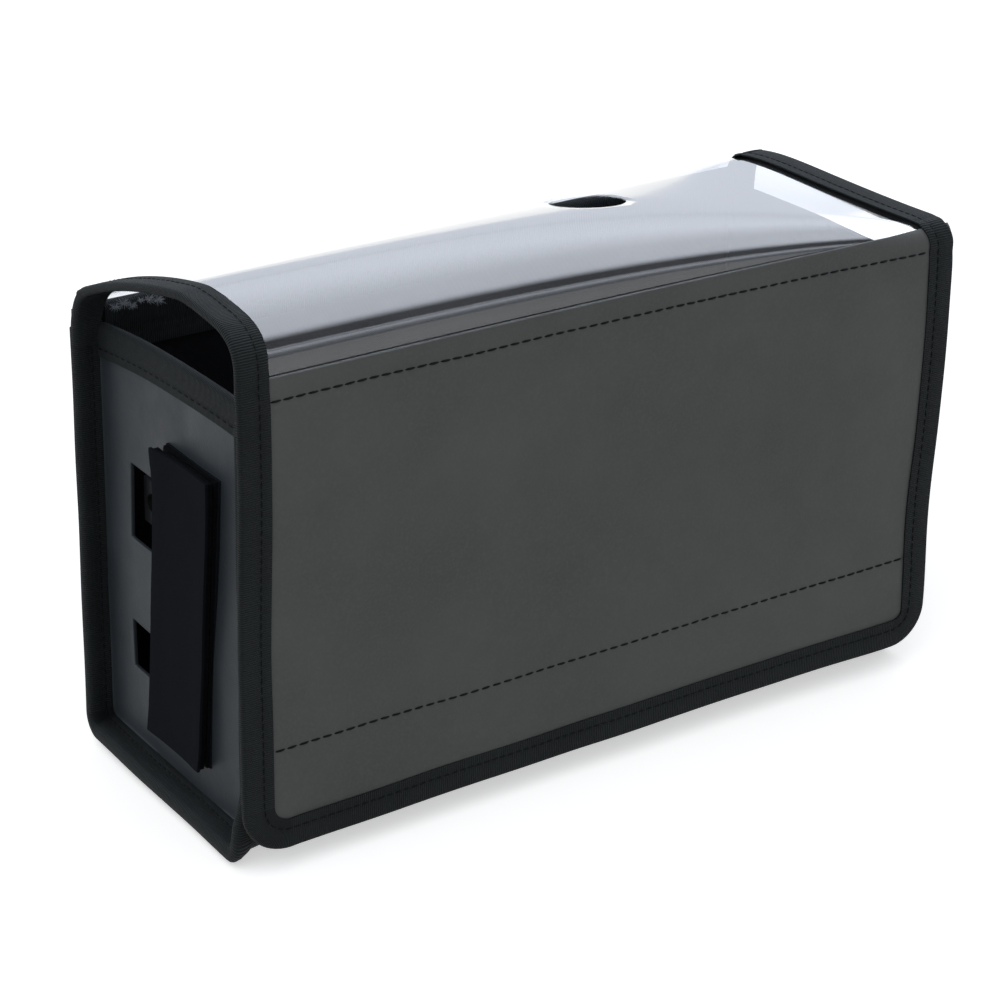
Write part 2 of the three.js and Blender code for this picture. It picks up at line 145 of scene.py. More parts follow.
def grid_object(name, rows, keep=None):
    """A sheet of quads through rows of points. keep(row, column) says which quads stay."""
    width = len(rows[0])
    faces = []
    for r in range(len(rows) - 1):
        for c in range(width - 1):
            if keep is None or keep(r, c):
                a = r * width + c
                faces.append((a, a + 1, a + width + 1, a + width))
    return new_object(name, [p for row in rows for p in row], faces)


def drop_loose_points(obj):
    edit_mesh(obj, lambda work: bmesh.ops.delete(
        work, geom=[v for v in work.verts if not v.link_faces], context="VERTS"))


def round_edges(obj, width, from_degrees):
    bevel = obj.modifiers.new("edge", "BEVEL")
    bevel.width = width
    bevel.segments = 2
    bevel.limit_method = "ANGLE"
    bevel.angle_limit = math.radians(from_degrees)


def thicken(obj, thickness, offset=0.0, edge_round=0.3 * MM):
    """Gives a sheet its thickness and softly rounded edges."""
    solid = obj.modifiers.new("thickness", "SOLIDIFY")
    solid.thickness = thickness
    solid.offset = offset
    solid.use_even_offset = True
    if edge_round > 0:
        round_edges(obj, edge_round, 60)


def sweep_object(name, stations, section):
    """Sweeps a closed section along stations and caps both ends.

    A station is (point, inward, normal), and section(i) gives pairs (inward, normal) in metres.
    """
    points, uvs, faces = [], [], []
    travel = 0.0
    for i, (centre, inward, normal) in enumerate(stations):
        if i:
            travel += (centre - stations[i - 1][0]).length
        loop = section(i)
        girth = 0.0
        for j, (a, b) in enumerate(loop):
            if j:
                girth += math.dist(loop[j], loop[j - 1])
            points.append(centre + inward * a + normal * b)
            uvs.append((travel, girth))
    count = len(section(0))
    for i in range(len(stations) - 1):
        for j in range(count):
            a = i * count + j
            b = i * count + (j + 1) % count
            faces.append((a, b, b + count, a + count))
    faces.append(tuple(range(count)))
    faces.append(tuple(range((len(stations) - 1) * count, len(stations) * count))[::-1])
    return tidy_mesh(new_object(name, points, faces, uvs))


def resample(points, spacing):
    """Places at even spacing along a line of points, as (segment, share of the way along it)."""
    lengths = [0.0]
    for a, b in zip(points, points[1:]):
        lengths.append(lengths[-1] + (b - a).length)
    count = max(2, round(lengths[-1] / spacing) + 1)
    result = []
    segment = 0
    for i in range(count):
        target = lengths[-1] * i / (count - 1)
        while segment < len(points) - 2 and lengths[segment + 1] < target:
            segment += 1
        span = lengths[segment + 1] - lengths[segment]
        share = clamp((target - lengths[segment]) / span) if span else 0.0
        result.append((segment, share))
    return result


def add_thread(points, faces, rings, across, up, sides):
    """Adds a closed round thread through rings of (centre, radius)."""
    first = len(points)
    for centre, radius in rings:
        for side in range(sides):
            angle = 2 * math.pi * side / sides
            points.append(centre + across * (radius * math.cos(angle)) + up * (radius * math.sin(angle)))
    last = len(points) - sides
    for start in range(first, last, sides):
        for side in range(sides):
            a, b = start + side, start + (side + 1) % sides
            faces.append((a, b, b + sides, a + sides))
    faces.append(tuple(range(first, first + sides))[::-1])
    faces.append(tuple(range(last, last + sides)))


def stitch_row(name, points, normals, pitch, thread):
    """A row of stitches: each a short thread that rises from the sheet and dips back into it."""
    places = resample(points, pitch)
    centres = [points[s].lerp(points[s + 1], t) for s, t in places]
    ups = [normals[s].lerp(normals[s + 1], t).normalized() for s, t in places]
    verts, faces = [], []
    for i, (start, end) in enumerate(zip(centres, centres[1:])):
        up = (ups[i] + ups[i + 1]).normalized()
        across = (end - start).normalized().cross(up).normalized()
        lean = across * (0.16 * MM * math.sin(5.1 * i))
        rings = []
        for share in (0, 0.25, 0.5, 0.75, 1):
            swell = math.sin(math.pi * share)
            height = lerp(-0.7, 0.55, swell ** 0.6) * thread
            middle = start.lerp(end, lerp(0.04, 0.96, share)) + up * height + lean * (share - 0.5)
            rings.append((middle, thread * (0.75 + 0.25 * swell)))
        add_thread(verts, faces, rings, across, up, 6)
    return tidy_mesh(new_object(name, verts, faces), 80)


# ---------------------------------------------------------------- shapes shared by several pieces

def bezier(controls, t):
    s = 1 - t
    weights = (s ** 3, 3 * s * s * t, 3 * s * t * t, t ** 3)
    return tuple(sum(w * c[axis] for w, c in zip(weights, controls)) for axis in range(2))


def film_share(x):
    """0 where the film stands tall at the left end, 1 where it lies flat at the right end."""
    return clamp((x + FILM_BLEND_END) / (2 * FILM_BLEND_END)) ** 3


def film_controls(x):
    share = film_share(x)
    return [(lerp(a[0], b[0], share), lerp(a[1], b[1], share)) for a, b in zip(LEFT_FILM, RIGHT_FILM)]


def film_point(x, t):
    """A point of the film at distance x along the case; t runs 0 to 1 to the crest and 1 to 2 to the seam."""
    controls = film_controls(x)
    y, z = bezier(controls[:4], t) if t <= 1 else bezier(controls[3:], t - 1)
    return Vector((x, y, z))


def film_normal(x, t):
    step = 0.01
    along = film_point(x, min(t + step, 2)) - film_point(x, max(t - step, 0))
    return Vector((0, -along.z, along.y)).normalized() * -1


def film_at_y(x, y):
    """The point of the film's rise that stands above a given y."""
    low, high = 0.0, 1.0
    for _ in range(30):
        middle = (low + high) / 2
        if film_point(x, middle).y > y:
            low = middle
        else:
            high = middle
    return film_point(x, low)


def above_seam(x, distance):
    """The film's place and normal at a distance above its front seam, measured along the film."""
    steps = 24
    here = film_point(x, 2.0)
    travelled = 0.0
    for i in range(1, steps + 1):
        t = 2.0 - i / steps
        after = film_point(x, t)
        span = (after - here).length
        if travelled + span >= distance:
            share = (distance - travelled) / span
            return here.lerp(after, share), film_normal(x, lerp(t + 1 / steps, t, share))
        travelled += span
        here = after
    return here, film_normal(x, 1.0)


def bend_at_fold(obj):
    """Bakes a piece's placement into its mesh, for pieces at the lid's front corner, which is tall at the
    left end and low at the right.
    """
    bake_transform(obj)
    return obj


def bend_at_hem(obj):
    """Bakes a piece's placement into its mesh, for pieces where the film leaves the top of the rear wall."""
    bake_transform(obj)
    return obj


FLAP_BOTTOM = FLAP_LOW.z
CORNER_RADIUS = {-1: 18 * MM, 1: 15 * MM}
BOTTOM_RISE = {-1: -1.2 * MM, 1: 1.2 * MM}


def flap_edge(side, z):
    """X of the flap's outer edge at a height, wavy as sewn sheet is, and flared out at the right."""
    wave = 0.5 * MM * ripple((side, 0, z), 55 * MM, 3.0)
    if side > 0:
        flare = 1.1 * MM * bump_curve(z, 26 * MM, 26 * MM) + 3.4 * MM * bump_curve(z, 130 * MM, 55 * MM)
    else:
        flare = 0.6 * MM * bump_curve(z, 60 * MM, 40 * MM)
    return side * (HALF_LENGTH + wave + flare)


def flap_bottom(x):
    """Height of the flap's lower edge, which hangs a little lower at its left end."""
    return FLAP_BOTTOM + lerp(BOTTOM_RISE[-1], BOTTOM_RISE[1], (x / HALF_LENGTH + 1) / 2)


def flap_swell(x, z):
    """How far the hanging flap stands out from a flat plane."""
    wave = 0.9 * MM * ripple((x, 0, z), 90 * MM, 1.0) + 0.25 * MM * ripple((x, 0, z), 30 * MM, 5.0)
    hang = 1.2 * MM * math.sin(math.pi * clamp(z / PANEL_HIGH.z)) * (1 - (x / HALF_LENGTH) ** 2)
    low_right = 2.0 * MM * bump_curve(x, 0.14, 0.035) * bump_curve(z, 12 * MM, 30 * MM)
    return wave * (1 - bump_curve(z, PANEL_HIGH.z, 12 * MM)) + hang + low_right


def film_to_panel(z, seam_z):
    """Y of the edge tape's middle plane: a little behind the panel at the seam, and the panel's own below."""
    return lerp(PANEL_MID_Y, PANEL_MID_Y + 0.45 * MM, ease((z - seam_z + 8 * MM) / (6 * MM)))


def folded_tape(front_width, back_width, half_stack, puff=1.0):
    """The closed outline of a tape folded over an edge: inward distance, then height off the middle plane."""
    outer = half_stack + TAPE
    bend = 0.85 * outer
    angles = [math.pi * (0.5 + i / 8) for i in range(9)]
    front = [(1.0, 1.0), (0.93, 1.03 * puff), (0.8, 1.06 * puff), (0.67, TAPE_PINCH),
             (0.54, 1.06 * puff), (0.36, 1.1 * puff)]
    outside = [(front_width * a, outer * b) for a, b in front]
    outside += [(bend + bend * math.cos(t), outer * 1.05 * math.sin(t)) for t in angles]
    outside += [(back_width * a, -outer * b) for a, b in reversed(front)]
    inside = [(back_width, -half_stack), (back_width * 0.5, -half_stack)]
    inside += [(bend + (bend - TAPE) * math.cos(t), half_stack * math.sin(t)) for t in reversed(angles)]
    inside += [(front_width * 0.5, half_stack), (front_width, half_stack)]
    return outside + inside


# ---------------------------------------------------------------- materials

class Nodes:
    """Short ways to add and join nodes in one tree."""

    def __init__(self, tree):
        self.tree = tree

    def add(self, kind, inputs=(), **settings):
        node = self.tree.nodes.new(kind)
        for key, value in settings.items():
            setattr(node, key, value)
        self.join(node, inputs)
        return node

    def join(self, node, inputs):
        """Sets a node's inputs, each from another node's output or to a plain value."""
        for key, value in dict(inputs).items():
            if isinstance(value, bpy.types.NodeSocket):
                self.tree.links.new(value, node.inputs[key])
            else:
                node.inputs[key].default_value = value

    def math(self, operation, a, b=0.0):
        return self.add("ShaderNodeMath", {0: a, 1: b}, operation=operation).outputs[0]

    def remap(self, value, low, high, new_low, new_high):
        inputs = {0: value, 1: low, 2: high, 3: new_low, 4: new_high}
        return self.add("ShaderNodeMapRange", inputs).outputs[0]

    def mix_shaders(self, share, first, second):
        return self.add("ShaderNodeMixShader", {0: share, 1: first, 2: second}).outputs[0]

    def mix(self, share, first, second):
        inputs = {0: share, 6: first, 7: second}
        return self.add("ShaderNodeMix", inputs, data_type="RGBA").outputs[2]


class Shader(Nodes):
    """A node material with one Principled surface."""

    def __init__(self, name):
        self.material = bpy.data.materials.new(name)
        self.material.use_nodes = True
        super().__init__(self.material.node_tree)
        self.surface = self.tree.nodes["Principled BSDF"]
        self.output = self.tree.nodes["Material Output"]
        coordinates = self.add("ShaderNodeTexCoord").outputs
        self.place, self.uv = coordinates["Object"], coordinates["UV"]

    def set(self, **inputs):
        self.join(self.surface, {key.replace("_", " "): value for key, value in inputs.items()})

    def noise(self, scale, detail=3.0, rough=0.55, vector=None):
        inputs = {"Vector": vector or self.place, "Scale": scale, "Detail": detail, "Roughness": rough}
        return self.add("ShaderNodeTexNoise", inputs).outputs[0]

    def cells(self, scale):
        return self.add("ShaderNodeTexVoronoi", {"Vector": self.place, "Scale": scale}).outputs[0]

    def tone(self, value, low, high, base, dark, light):
        """A colour that goes from a darker to a lighter shade of base as a value rises."""
        return self.mix(self.remap(value, low, high, 0, 1), shade(base, dark), shade(base, light))

    def bump(self, height, distance, strength=1.0, normal=None):
        inputs = {"Height": height, "Distance": distance, "Strength": strength}
        if normal is not None:
            inputs["Normal"] = normal
        return self.add("ShaderNodeBump", inputs).outputs[0]


def colour(r, g, b):
    """Display colours from 0 to 255, turned into linear light."""
    parts = [(c / 255 / 12.92) if c <= 10 else ((c / 255 + 0.055) / 1.055) ** 2.4 for c in (r, g, b)]
    return (*parts, 1.0)


def shade(rgba, factor):
    return (*(clamp(c * factor) for c in rgba[:3]), 1.0)


def vinyl_material(name, base, rough=0.5):
    """PVC-coated sheet: fine pebble grain, faint cloudy tone and handling marks."""
    s = Shader(name)
    tone = s.tone(s.noise(14, 5, 0.6), 0.3, 0.7, base, 0.86, 1.14)
    speck = s.remap(s.noise(900, 2), 0.45, 0.75, 0, 0.35)
    s.set(Base_Color=s.mix(speck, tone, shade(base, 1.35)))
    s.set(Roughness=s.remap(s.noise(60, 4), 0.3, 0.7, rough - 0.07, rough + 0.09))
    grain = s.math("ADD", s.cells(1500), s.math("MULTIPLY", s.noise(3200, 2), 0.6))
    broad = s.bump(s.noise(70, 3), 0.35 * MM, 0.5)
    s.set(Normal=s.bump(grain, 0.05 * MM, 0.55, broad), Specular_IOR_Level=0.17)
    return s.material


def grosgrain_material(name, base, pitch=0.8 * MM):
    """Ribbed binding tape, with painted highlights on the rib crests and painted shade in the grooves. U runs
    along the tape and V across it, both in metres.
    """
    s = Shader(name)
    split = s.add("ShaderNodeSeparateXYZ", {0: s.uv})
    drift = s.math("MULTIPLY", s.noise(220, 2), 0.35 * MM)
    along = s.math("ADD", split.outputs[0], drift)
    ribs = s.math("SINE", s.math("MULTIPLY", along, 2 * math.pi / pitch))
    threads = s.math("SINE", s.math("MULTIPLY", split.outputs[1], 2 * math.pi / (0.55 * MM)))
    weave = s.math("ADD", ribs, s.math("MULTIPLY", s.math("MULTIPLY", ribs, threads), 0.35))
    fuzz = s.noise(2600, 3)
    height = s.math("ADD", weave, s.math("MULTIPLY", fuzz, 0.9))
    worn = s.remap(s.noise(30, 4), 0.35, 0.7, 0.8, 1.25)
    # Painted highlight and shade: the colour follows the rib height, from 0.12 times the base in the grooves
    # to 2.6 times on the crests
    tone = s.tone(height, -1.0, 1.8, base, 0.12, 2.6)
    s.set(Base_Color=s.add("ShaderNodeVectorMath", {0: tone, 3: worn}, operation="SCALE").outputs[0])
    s.set(Roughness=s.remap(fuzz, 0.3, 0.7, 0.55, 0.75), Specular_Tint=(0.9, 0.95, 1, 1))
    s.set(Normal=s.bump(height, 0.22 * MM, 1.0), Specular_IOR_Level=0.11)
    return s.material


def pile_material(name, base):
    """Hook-and-loop pile: a dense mat of fine curled fibre."""
    s = Shader(name)
    loops = s.cells(1100)
    tangle = s.noise(2400, 6, 0.75)
    height = s.math("ADD", s.math("MULTIPLY", loops, 0.8), tangle)
    s.set(Base_Color=s.tone(height, 0.4, 1.2, base, 0.4, 1.6))
    s.set(Roughness=0.9, Specular_IOR_Level=0.03)
    s.set(Normal=s.bump(height, 0.4 * MM, 0.9))
    return s.material


def weave_material(name, base, pitch=0.9 * MM, rough=0.85, shine=0.08):
    """Plain woven cloth, from two crossed sets of threads."""
    s = Shader(name)
    split = s.add("ShaderNodeSeparateXYZ", {0: s.place})
    level = s.math("ADD", split.outputs[1], split.outputs[2])
    warp = s.math("SINE", s.math("MULTIPLY", split.outputs[0], 2 * math.pi / pitch))
    weft = s.math("SINE", s.math("MULTIPLY", level, 2 * math.pi / pitch))
    height = s.math("ADD", s.math("MULTIPLY", warp, weft), s.noise(1800, 3))
    s.set(Base_Color=s.tone(height, -0.6, 1.4, base, 0.6, 1.5))
    s.set(Roughness=rough, Specular_IOR_Level=shine, Normal=s.bump(height, 0.12 * MM, 0.6))
    return s.material


def thread_material(name, base):
    s = Shader(name)
    twist = s.noise(1800, 3)
    s.set(Base_Color=s.tone(twist, 0.3, 0.7, base, 0.6, 1.5))
    s.set(Roughness=0.65, Specular_IOR_Level=0.08, Normal=s.bump(twist, 0.1 * MM, 0.7))
    return s.material


def plastic_material(name, base, rough=0.45, grain=1200, metallic=0.0):
    """Moulded, laminated or metal parts: fine texture, with small changes of tone and gloss."""
    s = Shader(name)
    s.set(Base_Color=s.tone(s.noise(40, 4), 0.3, 0.7, base, 0.85, 1.15), Metallic=metallic)
    s.set(Roughness=s.remap(s.noise(150, 3), 0.3, 0.7, rough - 0.06, rough + 0.1))
    s.set(Normal=s.bump(s.noise(grain, 3), 0.04 * MM, 0.5), Specular_IOR_Level=0.15)
    return s.material


def sleeve_material(name, base):
    """Heat-shrink film: glossy, drawn into faint long wrinkles."""
    s = Shader(name)
    stretched = s.add("ShaderNodeMapping", {"Vector": s.place, "Scale": (18, 160, 160)}).outputs[0]
    wrinkle = s.noise(1.0, 4, 0.6, stretched)
    s.set(Base_Color=s.tone(s.noise(25, 3), 0.3, 0.7, base, 0.8, 1.25))
    s.set(Roughness=s.remap(s.noise(90, 3), 0.3, 0.7, 0.22, 0.38), Normal=s.bump(wrinkle, 0.5 * MM, 0.5))
    return s.material


def film_material(name):
    """Clear film: see-through, with a sheen that grows at shallow angles, and faint haze and scuffs."""
    both_faces = 1.85
    s = Shader(name)
    s.tree.nodes.remove(s.surface)
    haze = s.noise(9, 5, 0.6)
    scuffs = s.remap(s.noise(35, 2), 0.6, 0.8, 0.0, 0.012)
    ripple_bump = s.bump(s.noise(16, 2, 0.4), 0.5 * MM, 0.35)
    clear = s.add("ShaderNodeBsdfTransparent", {"Color": (0.93, 0.94, 0.96, 1)}).outputs[0]
    milky = s.add("ShaderNodeBsdfDiffuse", {"Color": (0.8, 0.82, 0.9, 1)}).outputs[0]
    cloudy = s.math("ADD", s.remap(haze, 0.3, 0.7, 0.01, 0.035), scuffs)
    gloss = {"Color": (1, 1, 1, 1), "Normal": ripple_bump, "Roughness": s.remap(haze, 0.3, 0.7, 0.05, 0.09)}
    mirror = s.add("ShaderNodeBsdfGlossy", gloss).outputs[0]
    fresnel = s.add("ShaderNodeFresnel", {"IOR": 1.5, "Normal": ripple_bump}).outputs[0]
    front = s.math("SUBTRACT", 1.0, s.add("ShaderNodeNewGeometry").outputs["Backfacing"])
    sheen = s.math("MINIMUM", s.math("MULTIPLY", s.math("MULTIPLY", fresnel, both_faces), front), 1.0)
    whole = s.mix_shaders(sheen, s.mix_shaders(cloudy, clear, milky), mirror)
    s.tree.links.new(whole, s.output.inputs[0])
    return s.material


FRONT_GREY = vinyl_material("front_grey", colour(74, 75, 74))
# The end sheets' vinyl is darker and bluer than the front's: painted shade for the ends, which stand in shade
END_GREY_PAINTED_SHADE = vinyl_material("end_grey", colour(42, 47, 51), 0.45)
BINDING = grosgrain_material("binding_tape", colour(21, 24, 24))
PILE = pile_material("hook_and_loop_pile", colour(12, 13, 15))
PILE_BACK = weave_material("strip_backing", colour(22, 24, 28), 0.7 * MM, 0.9, 0.02)
# Dark lining cloth, made darker still as painted shade for the inside of the case
LINING_AND_PAINTED_SHADE = weave_material("lining_cloth_and_painted_shade", colour(10, 11, 13))
THREAD = thread_material("black_thread", colour(9, 9, 10))
PALE_THREAD = thread_material("pale_thread", colour(150, 154, 160))
CLEAR = film_material("clear_film")


def finish_piece(obj, material, body=None, replaced=()):
    """Gives a piece its body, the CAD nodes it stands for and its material."""
    if body:
        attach(obj, body)
    if replaced:
        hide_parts(*replaced)
    obj.data.materials.clear()
    obj.data.materials.append(material)


# ---------------------------------------------------------------- lid: film, flap and their tape

HOLE_CENTRE = (31 * MM, 4 * MM)
HOLE_RADIUS = 14 * MM
FILM_END = FILM_HIGH.x - 0.5 * MM
FILM_TAIL = 9 * MM


def window_film():
    """The clear sheet from the rear hem over the crest to behind the flap, with a round hole cut in it."""
    columns, rise, corner = 150, 70, 26
    levels = [i / rise for i in range(rise)] + [1 + i / corner for i in range(corner + 1)]
    rows = []
    for c in range(columns + 1):
        x = lerp(-FILM_END, FILM_END, c / columns)
        row = [film_point(x, t) for t in levels]
        row += [row[-1] - UP * (FILM_TAIL * i / 3) for i in range(1, 4)]
        rows.append(row)
    centre = Vector(HOLE_CENTRE)

    def outside(r, c):
        return (rows[r][c].xy - centre).length >= HOLE_RADIUS

    kept = {(r, c) for r in range(len(rows) - 1) for c in range(len(rows[0]) - 1)
            if outside(r, c) and outside(r + 1, c) and outside(r, c + 1) and outside(r + 1, c + 1)}
    rim = [(r, c) for r in range(1, len(rows) - 1) for c in range(1, rise)
           if len({(r - 1, c - 1), (r - 1, c), (r, c - 1), (r, c)} & kept) in (1, 2, 3)]
    for r, c in rim:
        flat = centre + (rows[r][c].xy - centre).normalized() * HOLE_RADIUS
        rows[r][c] = film_at_y(flat.x, flat.y)
    obj = grid_object("window_film_sheet", rows, keep=lambda r, c: (r, c) in kept)
    drop_loose_points(obj)
    thicken(tidy_mesh(obj), FILM, edge_round=0)
    finish_piece(bend_at_fold(obj), CLEAR, replaced=["window_film"])


def film_hem():
    """The film's last strip, sewn down over the outside of the rear wall's top edge."""
    outside = TUB_HIGH.y + 1.5 * MM
    start = Vector((HEM[0] - 0.5 * MM, HEM[1] + 0.2 * MM))
    profile = [start, Vector((outside - 1.2 * MM, 167.4 * MM)), Vector((outside, 164.5 * MM))]
    profile += [Vector((outside + 0.2 * MM, z * MM)) for z in (161, 158, 155, 152)]
    rows = []
    for i in range(61):
        x = lerp(-FILM_END + TAPE_WIDTH, FILM_END - TAPE_WIDTH, i / 60)
        wave = 0.3 * MM * ripple((x, 0, 0), 25 * MM, 8.0)
        rows.append([Vector((x, p.x + wave * (j > 2), p.y)) for j, p in enumerate(profile)])
    obj = tidy_mesh(grid_object("film_hem", rows), 180)
    obj.modifiers.new("smooth", "SUBSURF").levels = 1
    obj.modifiers["smooth"].render_levels = 2
    thicken(obj, FILM, edge_round=0)
    finish_piece(bend_at_hem(obj), CLEAR)


def film_edge_stations(side):
    """Along the film's free edge at one end, from the rear hem over the crest to the seam."""
    x = side * HALF_LENGTH
    flap_start = flap_edge(side, film_controls(x)[SEAM][1])
    stations = []
    for i in range(75):
        t = lerp(0.1, 2, i / 74)
        wave = 0.5 * MM * ripple((x, t, 0), 0.35, 2.0)
        centre = film_point(x, t)
        centre.x = lerp(x + side * wave, flap_start, ease((t - 1.4) / 0.6))
        over_panel = ease((t - 1.15) / 0.25)
        normal = film_normal(x, t)
        stations.append((centre + normal * (0.7 * MM * over_panel), Vector((-side, 0, 0)), normal))
    return stations


def flap_side_stations(side):
    """Down one side of the flap from the film seam to the end of its rounded lower corner."""
    seam_z = film_controls(side * HALF_LENGTH)[SEAM][1]
    radius = CORNER_RADIUS[side]
    corner_top = flap_bottom(side * HALF_LENGTH) + radius
    stations = []
    for i in range(1, 51):
        z = lerp(seam_z, corner_top, i / 50)
        x = flap_edge(side, z)
        y = film_to_panel(z, seam_z) - flap_swell(x, z)
        stations.append((Vector((x, y, z)), Vector((-side, 0, 0)), FORWARD))
    for i in range(1, 15):
        angle = math.pi / 2 * i / 14
        z = corner_top - radius * math.sin(angle)
        x = flap_edge(side, z) - side * radius * (1 - math.cos(angle))
        inward = Vector((-side * math.cos(angle), 0, math.sin(angle)))
        stations.append((Vector((x, PANEL_MID_Y - flap_swell(x, z), z)), inward, FORWARD))
    return stations


def flap_bottom_stations():
    start = flap_side_stations(-1)[-1][0].x
    end = flap_side_stations(1)[-1][0].x
    stations = []
    for i in range(1, 80):
        x = lerp(start, end, i / 80)
        z = flap_bottom(x) + 0.5 * MM * ripple((x, 0, 0), 50 * MM, 4.0) * math.sin(math.pi * i / 80)
        stations.append((Vector((x, PANEL_MID_Y - flap_swell(x, z), z)), UP, FORWARD))
    return stations


def lid_edge_stations():
    """Once round the lid's free edge: left film end, left side, bottom, right side, right film end."""
    left = film_edge_stations(-1) + flap_side_stations(-1)
    right = film_edge_stations(1) + flap_side_stations(1)
    return left + flap_bottom_stations() + right[::-1]


def stitch_line(stations, inward, lifts, face=1):
    """Points and normals for stitches a given distance in from a taped edge, at a lift for each station."""
    points = []
    for (centre, turn, normal), lift in zip(stations, lifts):
        points.append(centre + turn * inward + normal * (lift * face))
    return points, [normal * face for _, _, normal in stations]


def sew_through(names, stations, inward, lifts, shape, body=None, pitch=TAPE_PITCH, thread=TAPE_THREAD):
    """One stitch row on each face of a folded tape, shaped like the tape by the given function."""
    for name, face in zip(names, (1, -1)):
        row = stitch_row(name, *stitch_line(stations, inward, lifts, face), pitch, thread)
        finish_piece(shape(row), THREAD, body)


def lid_tape():
    """One tape folded over the whole free edge of the lid, with a stitch row on each face."""
    stations = lid_edge_stations()
    half_stack = 0.95 * MM

    def section(i):
        puff = 1 + 0.08 * noise.noise(Vector((i * 0.21, 7, 0)))
        width = TAPE_WIDTH * (0.94 + 0.03 * noise.noise(Vector((i * 0.08, 2, 0))))
        return folded_tape(width, width * 0.96, half_stack, puff)

    tape = sweep_object("lid_edge_tape", stations, section)
    replaced = ["lid_binding_left", "lid_binding_right", "lid_binding_front"]
    finish_piece(bend_at_fold(tape), BINDING, replaced=replaced)
    lifts = [TAPE_PINCH * (half_stack + TAPE)] * len(stations)
    names = ("lid_tape_stitches_front", "lid_tape_stitches_back")
    sew_through(names, stations, TAPE_WIDTH * 0.63, lifts, bend_at_fold)


def hem_corner_tape(name, side):
    """The bend of tape that carries on from the rear seam to the film's free edge."""
    x = side * HALF_LENGTH
    seam_mid = TUB_HIGH.y - SEAM_INSET_REAR
    end, before = film_point(x, 0.16), film_point(x, 0.08)
    controls = [(seam_mid, 152 * MM), (seam_mid - 0.5 * MM, 164 * MM),
                (before.y + 1 * MM, before.z), (end.y, end.z)]
    steps = 16
    points = [Vector((x, *bezier(controls, i / steps))) for i in range(steps + 1)]
    stations = []
    for i, point in enumerate(points):
        along = (points[min(i + 1, steps)] - points[max(i - 1, 0)]).normalized()
        stations.append((point, Vector((-side, 0, 0)), Vector((0, along.z, -along.y))))

    def section(i):
        stack = lerp(SEAM_STACK_REAR + 0.15 * MM, 1.15 * MM, ease(i / 12))
        return folded_tape(TAPE_WIDTH, lerp(SEAM_INNER_WIDTH, TAPE_WIDTH, i / steps), stack)

    finish_piece(bend_at_hem(sweep_object(name, stations, section)), BINDING)


STITCH_DROP_LEFT, STITCH_DROP_RIGHT = 7.5 * MM, 1.0 * MM
SEWN_MARGIN = 8 * MM
LOWER_STITCH_Z = 43 * MM


def top_stitch_z(x):
    share = film_share(x)
    return film_controls(x)[SEAM][1] - lerp(STITCH_DROP_LEFT, STITCH_DROP_RIGHT, share)


def panel_place(x, rise_from_bottom, seam_z):
    """A point of the flap's middle surface and its normal; above the seam it bends back over the film."""
    z = FLAP_BOTTOM + rise_from_bottom
    over = z - seam_z
    if over <= 0:
        sewn = sum(bump_curve(z, row_z, 1.2 * MM) for row_z in (top_stitch_z(x), LOWER_STITCH_Z))
        valley = 0.3 * MM * sewn
        return Vector((x, PANEL_MID_Y - flap_swell(x, z) + valley, z)), FORWARD
    on_film, normal = above_seam(x, over)
    stand_off = SEAM_Y - PANEL_MID_Y
    return on_film + normal * stand_off, normal


def flap_panel():
    """The grey flap: wavy, rounded at its lower corners, its raw top edge lying on the film."""
    columns, rows_up, rows_over = 110, 90, 6
    inset = 1.0 * MM
    rows = []
    for r in range(rows_up + rows_over + 1):
        row = []
        for c in range(columns + 1):
            share = c / columns
            guess = lerp(-HALF_LENGTH, HALF_LENGTH, share)
            seam_z = film_controls(guess)[SEAM][1]
            top = top_stitch_z(guess) + SEWN_MARGIN
            if r <= rows_up:
                z = lerp(flap_bottom(guess) + inset, min(seam_z, top), r / rows_up)
            else:
                z = lerp(min(seam_z, top), top, (r - rows_up) / rows_over)
            limits = []
            for side, radius in CORNER_RADIUS.items():
                drop = clamp((flap_bottom(side * HALF_LENGTH) + radius - z) / (radius - inset))
                cut = (radius - inset) * (1 - math.sqrt(max(0.0, 1 - drop * drop)))
                limits.append(flap_edge(side, z) - side * (inset + cut))
            row.append(panel_place(lerp(*limits, share), z - FLAP_BOTTOM, seam_z)[0])
        rows.append(row)
    obj = tidy_mesh(grid_object("flap_panel", rows))
    thicken(obj, VINYL)
    finish_piece(bend_at_fold(obj), FRONT_GREY, replaced=["front_panel"])


def flap_stitches():
    """The upper row holds film and flap together; the lower row holds the facing behind the flap."""
    rows = (("flap_top_stitches", top_stitch_z), ("flap_lower_stitches", lambda x: LOWER_STITCH_Z))
    for name, height in rows:
        points, normals = [], []
        for i in range(141):
            x = lerp(-HALF_LENGTH + 12 * MM, HALF_LENGTH - 11 * MM, i / 140)
            z = height(x) + 0.35 * MM * ripple((x, 0, 0), 40 * MM, 6.0)
            point, normal = panel_place(x, z - FLAP_BOTTOM, film_controls(x)[SEAM][1])
            points.append(point + normal * (VINYL / 2))
            normals.append(normal)
        row = stitch_row(name, points, normals, pitch=4.6 * MM, thread=0.42 * MM)
        finish_piece(bend_at_fold(row), THREAD)


def flat_patch(name, node, material, body, swell=0.0):
    """A sewn rectangle of sheet or tape in the place of a flat CAD node that faces front or back."""
    low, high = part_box(node)
    columns, rows_up = 90, 14
    y = (low.y + high.y) / 2
    rows = []
    for r in range(rows_up + 1):
        z = lerp(low.z, high.z, r / rows_up)
        xs = [lerp(low.x, high.x, c / columns) for c in range(columns + 1)]
        rows.append([Vector((x, y - swell * ripple((c, r, 0), 6), z)) for c, x in enumerate(xs)])
    obj = tidy_mesh(grid_object(name, rows))
    thicken(obj, high.y - low.y, edge_round=0.25 * MM)
    finish_piece(obj, material, body, [node])


# ---------------------------------------------------------------- tub: wrap, ends, tapes

TUB_CORNER = 8 * MM

